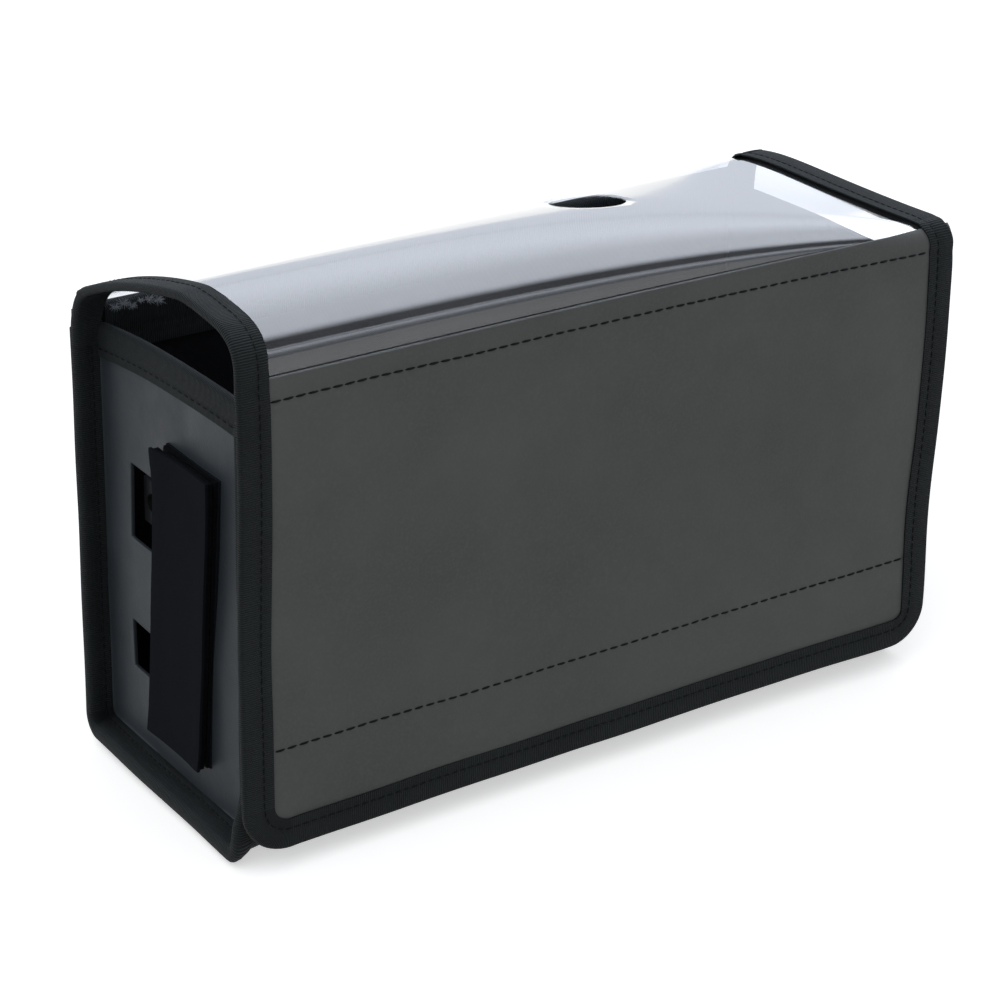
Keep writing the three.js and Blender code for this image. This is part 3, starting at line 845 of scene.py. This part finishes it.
# The sewn fins at the tub's ends: how deep their middle lies, half their thickness, how far they bend down
# under the tub, and how far they are drawn in up the front wall
SEAM_INSET_REAR, SEAM_INSET_FRONT = 2.7 * MM, 1.3 * MM
SEAM_STACK_REAR, SEAM_STACK_FRONT = 1.9 * MM, 1.0 * MM
SPLAY_REAR, SPLAY_FRONT = 3.2 * MM, 5.2 * MM
FRONT_FIN_PULL = 3.8 * MM
SEAM_INNER_WIDTH = 9.6 * MM
SEAM_STITCH_IN = 6.6 * MM
SEAM_TOP_DROP = 7 * MM

# End panels: place of the plate, and top edges as heights at the rear and front and the rise between
END_PLATE = HALF_LENGTH - 10 * MM
LEFT_ARCH = (158 * MM, 163.5 * MM, 3 * MM)
RIGHT_ARCH = (158.5 * MM, 160.5 * MM, 1.5 * MM)
REAR_TOP = TUB_HIGH.z
FRONT_TOP = LINING_HIGH.z - 3 * MM


def tub_line(inset, spacing, rear_top=REAR_TOP, front_top=FRONT_TOP):
    """Points in Y and Z down the rear wall, along the bottom and up the front wall."""
    rear, front = TUB_HIGH.y - inset, TUB_LOW.y + inset
    radius = TUB_CORNER - inset
    corners = [Vector((rear, rear_top)), Vector((rear, TUB_CORNER))]
    for centre_y, first in ((TUB_HIGH.y - TUB_CORNER, 0), (TUB_LOW.y + TUB_CORNER, -90)):
        for i in range(1, 8):
            angle = math.radians(first - 90 * i / 8)
            arc = Vector((math.cos(angle), math.sin(angle)))
            corners.append(Vector((centre_y, TUB_CORNER)) + arc * radius)
        if first == 0:
            corners.append(Vector((centre_y, inset)))
            corners.append(Vector((TUB_LOW.y + TUB_CORNER, inset)))
    corners += [Vector((front, TUB_CORNER)), Vector((front, front_top))]
    points = [corners[0]]
    for a, b in zip(corners, corners[1:]):
        steps = max(1, round((b - a).length / spacing))
        points += [a.lerp(b, i / steps) for i in range(1, steps + 1)]
    return points


def outward(points, i):
    along = (points[min(i + 1, len(points) - 1)] - points[max(i - 1, 0)]).normalized()
    return Vector((-along.y, along.x))


def wall_swell(x, z, upright):
    """Tub walls belly out a little between their seams; the bottom stays flat."""
    if not upright:
        return 0.0
    belly = math.cos(0.5 * math.pi * clamp(abs(x) / END_PLATE)) * math.sin(math.pi * clamp(z / REAR_TOP))
    return 1.3 * MM * belly + 0.5 * MM * ripple((x, 0, z), 70 * MM, 9.0) * clamp((z - 10 * MM) / (20 * MM))


def forward_share(y):
    """0 at the tub's rear wall, 1 at its front wall."""
    return clamp((TUB_HIGH.y - y) / (TUB_HIGH.y - TUB_LOW.y))


def up_front_wall(y, z):
    """0 along the rear and the bottom, rising to 1 above the lower corner of the front wall."""
    return ease((forward_share(y) - 0.9) / 0.1) * ease((z - 6 * MM) / (20 * MM))


def seam_inset(y, z):
    return lerp(SEAM_INSET_REAR, SEAM_INSET_FRONT, up_front_wall(y, z))


def seam_stack(y, z):
    """Half the thickness of the layers sewn together, which is thinner up the front wall."""
    return lerp(SEAM_STACK_REAR, SEAM_STACK_FRONT, up_front_wall(y, z))


def shape_fins(obj):
    """Bends the seam fins under the tub down and out, and draws in the ones up the front wall."""
    for vertex in obj.data.vertices:
        x, y, z = vertex.co
        outer = ease((abs(x) - HALF_LENGTH + 10 * MM) / (8 * MM))
        splay = lerp(SPLAY_REAR, SPLAY_FRONT, forward_share(y))
        vertex.co.z -= outer * splay * (1 - ease((z + SPLAY_FRONT) / (18 * MM)))
        vertex.co.x -= math.copysign(outer * FRONT_FIN_PULL * up_front_wall(y, z), x)
    return obj


def tub_sheet(name, inset, end, thickness, step_at_ends, bellied, material, node):
    """A sheet bent round the tub's rear, bottom and front; the outer one bellies away from the boards."""
    rows = []
    for c in range(81):
        x = lerp(-end, end, c / 80)
        step = step_at_ends * ease((abs(x) - END_PLATE + 4 * MM) / (3.5 * MM))
        line = tub_line(inset + step, 5 * MM)
        row = []
        for i, point in enumerate(line):
            normal = outward(line, i)
            swell = wall_swell(x, point.y, bellied and abs(normal.x) > 0.99)
            row.append(Vector((x, *(point + normal * swell))))
        rows.append(row)
    obj = tidy_mesh(shape_fins(grid_object(name, rows)))
    thicken(obj, thickness)
    finish_piece(obj, material, "case", [node])


def seam_tape(name, side, node):
    """Tape folded over the seam fin at one end of the tub, stitched through."""
    line = tub_line(SEAM_INSET_REAR, 4 * MM, rear_top=REAR_TOP - SEAM_TOP_DROP)
    stacks = [seam_stack(*point) for point in line]
    stations = []
    for i, point in enumerate(line):
        normal = outward(line, i)
        point = point + normal * (SEAM_INSET_REAR - seam_inset(*point))
        wave = Vector((side * 0.4 * MM * ripple((side, *point), 40 * MM, 3.0), 0, 0))
        shift = normal * (0.5 * MM * ripple((side, *point), 60 * MM, 7.0) * (abs(normal.x) > 0.99))
        centre = Vector((side * (HALF_LENGTH - 0.2 * MM), *(point + shift))) + wave
        stations.append((centre, Vector((-side, 0, 0)), Vector((0, *normal))))

    def section(i):
        puff = 1 + 0.06 * noise.noise(Vector((i * 0.3, 0, 0)))
        return folded_tape(TAPE_WIDTH * 0.9, SEAM_INNER_WIDTH, stacks[i], puff)

    tape = shape_fins(sweep_object(name, stations, section))
    finish_piece(tape, BINDING, "case", [node])
    names = (f"{name}_stitches_outer", f"{name}_stitches_inner")
    lifts = [TAPE_PINCH * (stack + TAPE) for stack in stacks]
    sew_through(names, stations, SEAM_STITCH_IN, lifts, shape_fins, "case")


def arch_height(arch, y):
    """Height of an end panel's top edge, from its heights at the rear and front and the rise between."""
    rear, front, rise = arch
    share = (TUB_HIGH.y - y) / (TUB_HIGH.y - TUB_LOW.y)
    return rear + (front - rear) * share + 4 * rise * share * (1 - share)


def spaced(breaks, step):
    """Increasing positions through every break, no further apart than step."""
    values = [breaks[0]]
    for a, b in zip(breaks, breaks[1:]):
        count = max(1, math.ceil((b - a) / step))
        values += [lerp(a, b, i / count) for i in range(1, count + 1)]
    return values


def fold_edge(distance, radius):
    """Distance from a folded edge to (distance in the plate, distance along the turned-out flange)."""
    if distance >= radius:
        return distance, 0.0
    past = radius - distance
    arc = math.pi / 2 * radius
    if past < arc:
        return radius * (1 - math.sin(past / radius)), radius * (1 - math.cos(past / radius))
    return 0.0, radius + past - arc


# The left end's two cut-outs for leads: front, rear, bottom, top
CUTOUTS = ((10.5 * MM, 32.5 * MM, 86 * MM, 114.5 * MM), (15.5 * MM, 34 * MM, 34 * MM, 53 * MM))


def end_panel(name, side, arch, cutouts, node):
    """A recessed end sheet whose rear, bottom and front edges turn outwards into the seams."""
    low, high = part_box(node)
    flange, radius = 8 * MM, 3.5 * MM
    top_start = 120 * MM
    y_breaks = {low.y - flange, low.y + radius, high.y - radius, high.y + flange}
    z_breaks = {low.z - flange, low.z + radius, top_start}
    for front, rear, bottom, top in cutouts:
        y_breaks |= {front, rear}
        z_breaks |= {bottom, top}
    ys = spaced(sorted(y_breaks), 2.2 * MM)
    zs = spaced(sorted(z_breaks), 2.4 * MM)
    crown = [i / 16 for i in range(1, 17)]
    middle_y, middle_z = (low.y + high.y) / 2, 80 * MM
    rows = []
    for level in zs + crown:
        row = []
        for y in ys:
            on_plate_y = clamp(y, low.y + radius, high.y - radius)
            front_in, front_out = fold_edge(y - low.y, radius)
            crest = arch_height(arch, on_plate_y)
            if y < low.y + radius:
                crest = lerp(crest, FRONT_TOP - 2 * MM, ease(front_out / radius))
            z = level if level in zs else lerp(top_start, crest, level)
            rear_in, rear_out = fold_edge(high.y - y, radius)
            up_in, down_out = fold_edge(z - low.z, radius)
            place_y = low.y + front_in if y < middle_y else high.y - rear_in
            place_z = low.z + up_in if z < middle_z else z
            out = max(front_out, rear_out, down_out)
            across, upward = clamp((place_y - low.y) / (high.y - low.y)), clamp(place_z / (150 * MM))
            belly = 1.4 * MM * math.sin(math.pi * across) * math.sin(math.pi * clamp(upward * 0.9 + 0.1))
            wave = 0.7 * MM * ripple((side, place_y, place_z), 45 * MM, 2.0)
            if out == 0:
                out = belly + wave
            row.append(Vector((side * (END_PLATE - VINYL / 2 + out), place_y, place_z)))
        rows.append(row)

    def keep(r, c):
        y = (ys[c] + ys[c + 1]) / 2
        z = (zs[r] + zs[r + 1]) / 2 if r + 1 < len(zs) else top_start + 1
        in_corner = z < low.z + 1 * MM and not low.y + 1 * MM < y < high.y - 1 * MM
        in_hole = any(f < y < b and d < z < u for f, b, d, u in cutouts)
        return not in_corner and not in_hole

    obj = shape_fins(grid_object(name, rows, keep=keep))
    drop_loose_points(obj)
    thicken(tidy_mesh(obj), VINYL)
    finish_piece(obj, END_GREY_PAINTED_SHADE, "case", [node])


def end_top_tape(name, side, arch, node):
    """Tape over the arched top edge of an end panel."""
    low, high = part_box(node)
    stations = []
    for i in range(41):
        y = lerp(high.y + 2 * MM, low.y - 2.5 * MM, i / 40)
        slope = (arch_height(arch, y + MM) - arch_height(arch, y - MM)) / (2 * MM)
        inward = Vector((0, slope, -1)).normalized()
        inside = clamp((y - low.y) / (high.y - low.y))
        belly = 0.45 * MM * math.sin(math.pi * inside) + 0.5 * MM * ripple((side, y, 0), 30 * MM, 3.0)
        centre = Vector((side * (END_PLATE - VINYL / 2 + belly), y, arch_height(arch, y) + 0.9 * MM))
        stations.append((centre, inward, Vector((side, 0, 0))))
    tape = sweep_object(name, stations, lambda i: folded_tape(TAPE_WIDTH, TAPE_WIDTH, 1.15 * MM))
    finish_piece(tape, BINDING, "case", [node])
    line = stitch_line(stations, TAPE_WIDTH * 0.76, [1.68 * MM] * len(stations))
    row = stitch_row(name + "_stitches", *line, 4.2 * MM, 0.28 * MM)
    finish_piece(row, THREAD, "case")


def wall_rim_tape(name, node, y, top, outer_width, inner_width, facing):
    """Tape over the top edge of a tub wall; facing is +1 for the rear wall and -1 for the front wall."""
    reach = END_PLATE - 2 * MM
    stations = []
    for i in range(91):
        x = lerp(-reach, reach, i / 90)
        swell = facing * wall_swell(x, top - 4 * MM, True)
        centre = Vector((x, y + swell, top + 0.9 * MM + 0.4 * MM * ripple((x, 0, 0), 40 * MM, facing)))
        stations.append((centre, -UP, Vector((0, facing, 0))))
    half_stack = (LINING_LOW.y - TUB_LOW.y + LINING_THICKNESS) / 2 + LAYER_GAP
    tape = sweep_object(name, stations, lambda i: folded_tape(outer_width, inner_width, half_stack))
    finish_piece(tape, BINDING, "case", [node])
    names = (f"{name}_stitches_outer", f"{name}_stitches_inner")
    lifts = [0.95 * (half_stack + TAPE)] * len(stations)
    sew_through(names, stations, 8.4 * MM, lifts, lambda row: row, "case", 4.4 * MM, 0.28 * MM)


def hem_tufts():
    """Frayed pale ends of the hem's stitches, inside the rear wall's top edge at the left."""
    points, faces = [], []
    count, hairs = 9, 90
    for k in range(count):
        base = Vector((lerp(-135, -108, k / (count - 1)), 51.6, 164.6 + 0.9 * math.sin(2.3 * k))) * MM
        size = (1.35 + 0.45 * math.sin(1.7 * k)) * MM
        for h in range(hairs):
            turn, rise = 2.4 * h, 0.35 + 0.6 * math.sin(1.3 * h + k)
            away = Vector((math.cos(turn), -abs(math.sin(turn)) * 0.8, rise)).normalized()
            curl = Vector((math.sin(3.1 * h), math.cos(2.7 * h), math.sin(1.9 * h))) * 0.5
            rings = []
            for j, s in enumerate((0.1, 0.45, 0.8, 1.1)):
                rings.append((base + away * (size * s) + curl * (size * s * s), 0.075 * MM * (1 - 0.2 * j)))
            add_thread(points, faces, rings, Vector((1, 0, 0)), UP, 3)
    obj = tidy_mesh(new_object("hem_thread_tufts", points, faces))
    finish_piece(obj, PALE_THREAD, "case")


# ---------------------------------------------------------------- hook-and-loop strip on the left end

STRIP_LEAN = math.radians(5)
STRIP_WIDTH = 36 * MM
STRIP_HEIGHT = 114 * MM


def strip_point(out, across, up):
    """A point of the strip: distance out from the end panel, across it towards the rear, and up it."""
    low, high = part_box("port_strip_base")
    centre_y, centre_z = (low.y + high.y) / 2, (low.z + high.z) / 2
    return Vector((high.x - out, centre_y + across - up * math.tan(STRIP_LEAN), centre_z + up))


def strip_lift(across, up):
    """The peeling half stands off the sewn half at its edges and its upper rear corner."""
    edge = bump_curve(abs(across), STRIP_WIDTH / 2, 6 * MM)
    corner = bump_curve(across, STRIP_WIDTH / 2, 12 * MM) * bump_curve(up, STRIP_HEIGHT / 2, 16 * MM)
    end = bump_curve(abs(up), STRIP_HEIGHT / 2, 7 * MM)
    wave = 0.3 * MM * ripple((0, across, up), 25 * MM, 4.0)
    return 0.5 * MM * edge + 1.6 * MM * corner + 0.5 * MM * end + wave


def strip_slab(name, out_low, out_high, lift, material, rough, shrink, body, replaced=()):
    """A closed slab of pile or backing cloth that follows the strip, with slightly ragged edges."""
    across_steps, up_steps = 26, 76
    half_width, half_height = STRIP_WIDTH / 2 - shrink, STRIP_HEIGHT / 2 - shrink
    points, faces = [], []
    for layer, out in enumerate((out_low, out_high)):
        for j in range(up_steps + 1):
            for i in range(across_steps + 1):
                across = lerp(-half_width, half_width, i / across_steps)
                up = lerp(-half_height, half_height, j / up_steps)
                ragged = rough * noise.noise(Vector((i * 3.1, j * 2.7, layer * 5)))
                if i in (0, across_steps):
                    across += 3 * ragged
                if j in (0, up_steps):
                    up += 3 * ragged
                points.append(strip_point(out + lift * strip_lift(across, up) + ragged, across, up))
    width = across_steps + 1
    sheet = width * (up_steps + 1)
    for j in range(up_steps):
        for i in range(across_steps):
            a = j * width + i
            faces.append((a, a + 1, a + width + 1, a + width))
            faces.append(tuple(sheet + n for n in (a, a + width, a + width + 1, a + 1)))
    rim = list(range(width))
    rim += [j * width + width - 1 for j in range(1, up_steps + 1)]
    rim += [up_steps * width + i for i in range(width - 2, -1, -1)]
    rim += [j * width for j in range(up_steps - 1, 0, -1)]
    for a, b in zip(rim, rim[1:] + rim[:1]):
        faces.append((a, b, sheet + b, sheet + a))
    obj = tidy_mesh(new_object(name, points, faces), 60)
    finish_piece(obj, material, body, replaced)


def port_strips():
    """Sewn half: backing and pile on the end panel. Peeling half: pile and backing over it."""
    pile = {"material": PILE, "rough": 0.16 * MM}
    backing = {"material": PILE_BACK, "rough": 0.03 * MM, "shrink": 0.0}
    strip_slab("strip_sewn_pile", 0.9 * MM, 2.2 * MM, 0.0, shrink=0.4 * MM, body="case", **pile)
    strip_slab("strip_sewn_backing", 0.1 * MM, 1.0 * MM, 0.0, body="case",
               replaced=["port_strip_base"], **backing)
    strip_slab("strip_peel_pile", 2.35 * MM, 4.2 * MM, 0.8, shrink=0.5 * MM, body="strip_flap", **pile)
    strip_slab("strip_peel_backing", 4.1 * MM, 5.2 * MM, 1.0, body="strip_flap",
               replaced=["port_flap"], **backing)


# ---------------------------------------------------------------- battery pack and wiring inside the case

CELL_COUNT = 6
CELL_FOIL = plastic_material("cell_foil", colour(186, 190, 196), 0.3, 500, 0.7)
GUARD = weave_material("guard_sheet", colour(84, 110, 86), 1.4 * MM, 0.5)
CIRCUIT = plastic_material("circuit_board", colour(30, 84, 50), 0.4, 900)
SLEEVE = sleeve_material("shrink_sleeve", colour(26, 28, 32))
LABEL = plastic_material("pack_label_film", colour(142, 146, 150), 0.4, 1500)
LEAD_RED = plastic_material("lead_red", colour(163, 29, 24), 0.5, 600)
LEAD_BLACK = plastic_material("lead_black", colour(26, 27, 29), 0.5, 600)
# Black housing plastic, made darker still as painted shade for the connector seen through the end's cut-outs
HOUSING_AND_PAINTED_SHADE = plastic_material("housing_black", colour(20, 21, 23), 0.45, 800)
BRASS = plastic_material("contact_brass", colour(201, 162, 74), 0.28, 400, 0.95)
FIBREBOARD = weave_material("fibreboard", colour(138, 122, 92), 2.3 * MM, 0.9)


def sleeve_ring(low, high, x, shrink, groove):
    """The sleeve's outline at x: a rounded rectangle with a shallow groove between every two cells."""
    steps, per_cell = 6, 8
    count = CELL_COUNT * per_cell
    left, right = low.y + shrink, high.y - shrink
    bottom, top = low.z + shrink, high.z - shrink
    radius = min(5 * MM, (right - left) / 3)
    y_low, y_high = left + radius, right - radius
    z_low, z_high = bottom + radius, top - radius
    top_edge = []
    for i in range(count + 1):
        dip = groove * (0.5 + 0.5 * math.cos(2 * math.pi * i / per_cell)) * (0 < i < count)
        top_edge.append((lerp(y_low, y_high, i / count), top - dip))
    right_edge = [(right, lerp(z_high, z_low, i / 10)) for i in range(11)]
    bottom_edge = [(lerp(y_high, y_low, i / count), bottom) for i in range(count + 1)]
    left_edge = [(left, lerp(z_low, z_high, i / 10)) for i in range(11)]
    corners = ((top_edge, y_high, z_high, 90), (right_edge, y_high, z_low, 0),
               (bottom_edge, y_low, z_low, -90), (left_edge, y_low, z_high, 180))
    ring = []
    for edge, centre_y, centre_z, first in corners:
        ring += edge
        for i in range(1, steps):
            angle = math.radians(first - 90 * i / steps)
            ring.append((centre_y + radius * math.cos(angle), centre_z + radius * math.sin(angle)))
    return [Vector((x, y, z)) for y, z in ring]


def shrink_sleeve():
    """Heat-shrink film drawn over the cells, with its shrunk lips turned in at both ends."""
    low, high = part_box("pack_sleeve")
    rows = []
    stops = [(0.0, 6.5), (0.1, 4.0), (0.8, 1.6), (2.2, 0.6), (4.0, 0.2)]
    length = (high.x - low.x) / MM
    middle = [(lerp(6, length - 6, i / 44), 0.0) for i in range(45)]
    for along, shrink in stops + middle + [(length - a, s) for a, s in reversed(stops)]:
        x = low.x + along * MM
        wrinkle = 0.25 * MM * ripple((x, 0, 0), 9 * MM, 1.0)
        inset = shrink * MM + abs(wrinkle) * (4 < along < length - 4)
        ring = sleeve_ring(low, high, x, inset, 1.0 * MM)
        rows.append(ring + ring[:1])
    obj = grid_object("battery_shrink_sleeve", rows)
    edit_mesh(obj, lambda work: bmesh.ops.remove_doubles(work, verts=work.verts, dist=0.01 * MM))
    thicken(tidy_mesh(obj), 0.5 * MM, offset=-1, edge_round=0)
    finish_piece(obj, SLEEVE, "case", ["pack_sleeve"])


def carried_nodes():
    """CAD nodes whose shape is right keep it and get their own finish and softened edges."""
    finishes = {
        "rear_board": FIBREBOARD, "bottom_board": FIBREBOARD, "front_board": FIBREBOARD,
        "front_guard_plate": GUARD, "rear_guard_plate": GUARD, "terminal_board": CIRCUIT,
        "pack_label": LABEL, "positive_lead": LEAD_RED, "negative_lead": LEAD_BLACK,
        "balance_lead": LEAD_BLACK, "main_connector": HOUSING_AND_PAINTED_SHADE, "balance_plug": HOUSING_AND_PAINTED_SHADE,
        "connector_contact_1": BRASS, "connector_contact_2": BRASS,
    }
    finishes |= {f"cell_{i + 1}": CELL_FOIL for i in range(CELL_COUNT)}
    for name, material in finishes.items():
        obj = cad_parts[name]
        obj.data.materials.clear()
        obj.data.materials.append(material)
        round_edges(obj, 0.25 * MM, 40)
        obj.data.shade_smooth()
        obj.data.set_sharp_from_angle(angle=math.radians(40))


# ---------------------------------------------------------------- stage

CAMERA_TURN = math.radians(34.93)
CAMERA_TILT = math.radians(25.34)
CAMERA_ROLL = math.radians(1.39)
CAMERA_DISTANCE = 1.1204
CAMERA_AIM = Vector((-0.0098, -0.0043, 0.0823))
CAMERA_LENS = 110.7
FLOOR_REACH = 6.0
FLOOR_GLOW = 0.5

# How bright reflections are, from level and away from the camera (0 degrees) over the top (90) and back
SHEEN_STOPS = [(0, 0.18), (12, 0.27), (25, 0.49), (45, 0.66), (65, 0.9), (82, 1.0), (90, 0.78), (99, 0.3),
               (106, 0.05), (134, 0.05), (140, 0.5), (144, 0.25), (152, 0.6), (165, 0.25), (180, 0.1)]
SHEEN_TINT = (0.87, 0.925, 1.03)


def area_light(name, place, target, size, energy):
    data = bpy.data.lights.new(name, "AREA")
    data.shape = "SQUARE"
    data.size = size
    data.energy = energy
    obj = bpy.data.objects.new(name, data)
    bpy.context.scene.collection.objects.link(obj)
    obj.location = place
    obj.rotation_euler = (Vector(target) - Vector(place)).to_track_quat("-Z", "Y").to_euler()


def studio_world():
    """White to the camera, even to matt surfaces, and shaded from rear to front in reflections."""
    world = bpy.data.worlds.new("studio")
    bpy.context.scene.world = world
    world.use_nodes = True
    world.node_tree.nodes.clear()
    n = Nodes(world.node_tree)
    incoming = n.add("ShaderNodeNewGeometry").outputs["Incoming"]
    height = n.math("MULTIPLY", n.add("ShaderNodeSeparateXYZ", {0: incoming}).outputs[2], -1)
    ahead = (-math.sin(CAMERA_TURN), -math.cos(CAMERA_TURN), 0)
    away = n.add("ShaderNodeVectorMath", {0: incoming, 1: ahead}, operation="DOT_PRODUCT").outputs["Value"]
    share = n.remap(n.math("ARCTAN2", height, away), 0, math.pi, 0, 1)
    ramp = n.add("ShaderNodeValToRGB", {0: share})
    elements = ramp.color_ramp.elements
    while len(elements) < len(SHEEN_STOPS):
        elements.new(0.5)
    for element, (degrees, level) in zip(elements, SHEEN_STOPS):
        element.position = degrees / 180
        element.color = (*(level * part for part in SHEEN_TINT), 1)

    def background(strength, tint):
        return n.add("ShaderNodeBackground", {"Strength": strength, "Color": tint}).outputs[0]

    ray = n.add("ShaderNodeLightPath").outputs
    to_matt, to_mirror = background(0.62, (0.95, 0.98, 1.0, 1)), background(5.0, ramp.outputs[0])
    reflected = n.mix_shaders(ray["Is Glossy Ray"], to_matt, to_mirror)
    light = n.mix_shaders(ray["Is Camera Ray"], reflected, background(1.0, (1, 1, 1, 1)))
    n.add("ShaderNodeOutputWorld", {0: light})


def floor():
    """A plain pale floor under the case, far wider than the view."""
    signs = ((-1, -1), (1, -1), (1, 1), (-1, 1))
    points = [(x * FLOOR_REACH, y * FLOOR_REACH, -SPLAY_FRONT - LAYER_GAP) for x, y in signs]
    obj = new_object("floor", points, [(0, 1, 2, 3)])
    s = Shader("pale_floor")
    path = s.add("ShaderNodeLightPath").outputs
    seen = s.math("MAXIMUM", path["Is Camera Ray"], path["Is Glossy Ray"])
    pale = s.mix(s.noise(3, 2), (0.9, 0.9, 0.9, 1), (0.94, 0.94, 0.94, 1))
    s.set(Base_Color=s.mix(seen, (0.5, 0.5, 0.5, 1), pale), Roughness=0.95, Specular_IOR_Level=0.0)
    s.set(Emission_Color=(1, 1, 1, 1), Emission_Strength=s.math("MULTIPLY", seen, FLOOR_GLOW))
    obj.data.materials.append(s.material)


def camera():
    level = math.cos(CAMERA_TILT)
    forward = Vector((math.sin(CAMERA_TURN) * level, math.cos(CAMERA_TURN) * level, -math.sin(CAMERA_TILT)))
    right = forward.cross(UP).normalized()
    up = right.cross(forward)
    rolled_right = right * math.cos(CAMERA_ROLL) + up * math.sin(CAMERA_ROLL)
    rolled_up = up * math.cos(CAMERA_ROLL) - right * math.sin(CAMERA_ROLL)
    data = bpy.data.cameras.new("photo_camera")
    data.lens = CAMERA_LENS
    obj = bpy.data.objects.new("photo_camera", data)
    bpy.context.scene.collection.objects.link(obj)
    turn = Matrix((rolled_right, rolled_up, -forward)).transposed().to_4x4()
    obj.matrix_world = Matrix.Translation(CAMERA_AIM - forward * CAMERA_DISTANCE) @ turn
    bpy.context.scene.camera = obj


# ---------------------------------------------------------------- build

def build_lid():
    window_film()
    film_hem()
    lid_tape()
    hem_corner_tape("hem_corner_tape_left", -1)
    hem_corner_tape("hem_corner_tape_right", 1)
    flap_panel()
    flap_stitches()
    flat_patch("flap_facing_strip", "front_facing", LINING_AND_PAINTED_SHADE, "lid_front")
    flat_patch("flap_hook_tape", "hook_tape", PILE, "lid_front", 0.1 * MM)


def build_tub():
    tub_sheet("tub_outer_sheet", VINYL / 2, HALF_LENGTH - 1.1 * MM, VINYL, 1.1 * MM, True,
              FRONT_GREY, "wrap_panel")
    tub_sheet("tub_lining_sheet", LINING_INSET, END_PLATE - 2.6 * MM, LINING_THICKNESS, 0, False,
              LINING_AND_PAINTED_SHADE, "wrap_lining")
    seam_tape("seam_tape_left", -1, "left_seam_binding")
    seam_tape("seam_tape_right", 1, "right_seam_binding")
    end_panel("end_sheet_left", -1, LEFT_ARCH, CUTOUTS, "left_end_panel")
    end_panel("end_sheet_right", 1, RIGHT_ARCH, (), "right_end_panel")
    end_top_tape("end_top_tape_left", -1, LEFT_ARCH, "left_end_top_binding")
    end_top_tape("end_top_tape_right", 1, RIGHT_ARCH, "right_end_top_binding")
    wall_mid = (LINING_INSET + VINYL / 2) / 2
    front_y, rear_y = TUB_LOW.y + wall_mid, TUB_HIGH.y - wall_mid
    wall_rim_tape("front_rim_tape", "front_rim_binding", front_y, FRONT_TOP, 11 * MM, 11 * MM, -1)
    wall_rim_tape("rear_rim_tape", "rear_hem_strip", rear_y, REAR_TOP, 11 * MM, 18 * MM, 1)
    flat_patch("tub_loop_tape", "loop_tape", PILE, "case", 0.1 * MM)
    hem_tufts()


build_tub()
port_strips()
shrink_sleeve()
carried_nodes()
build_lid()
floor()
studio_world()
camera()
area_light("key_light", (-1.1, -1.0, 1.9), (0, 0, 0.08), 1.6, 14)
bpy.context.scene.view_settings.view_transform = "Standard"
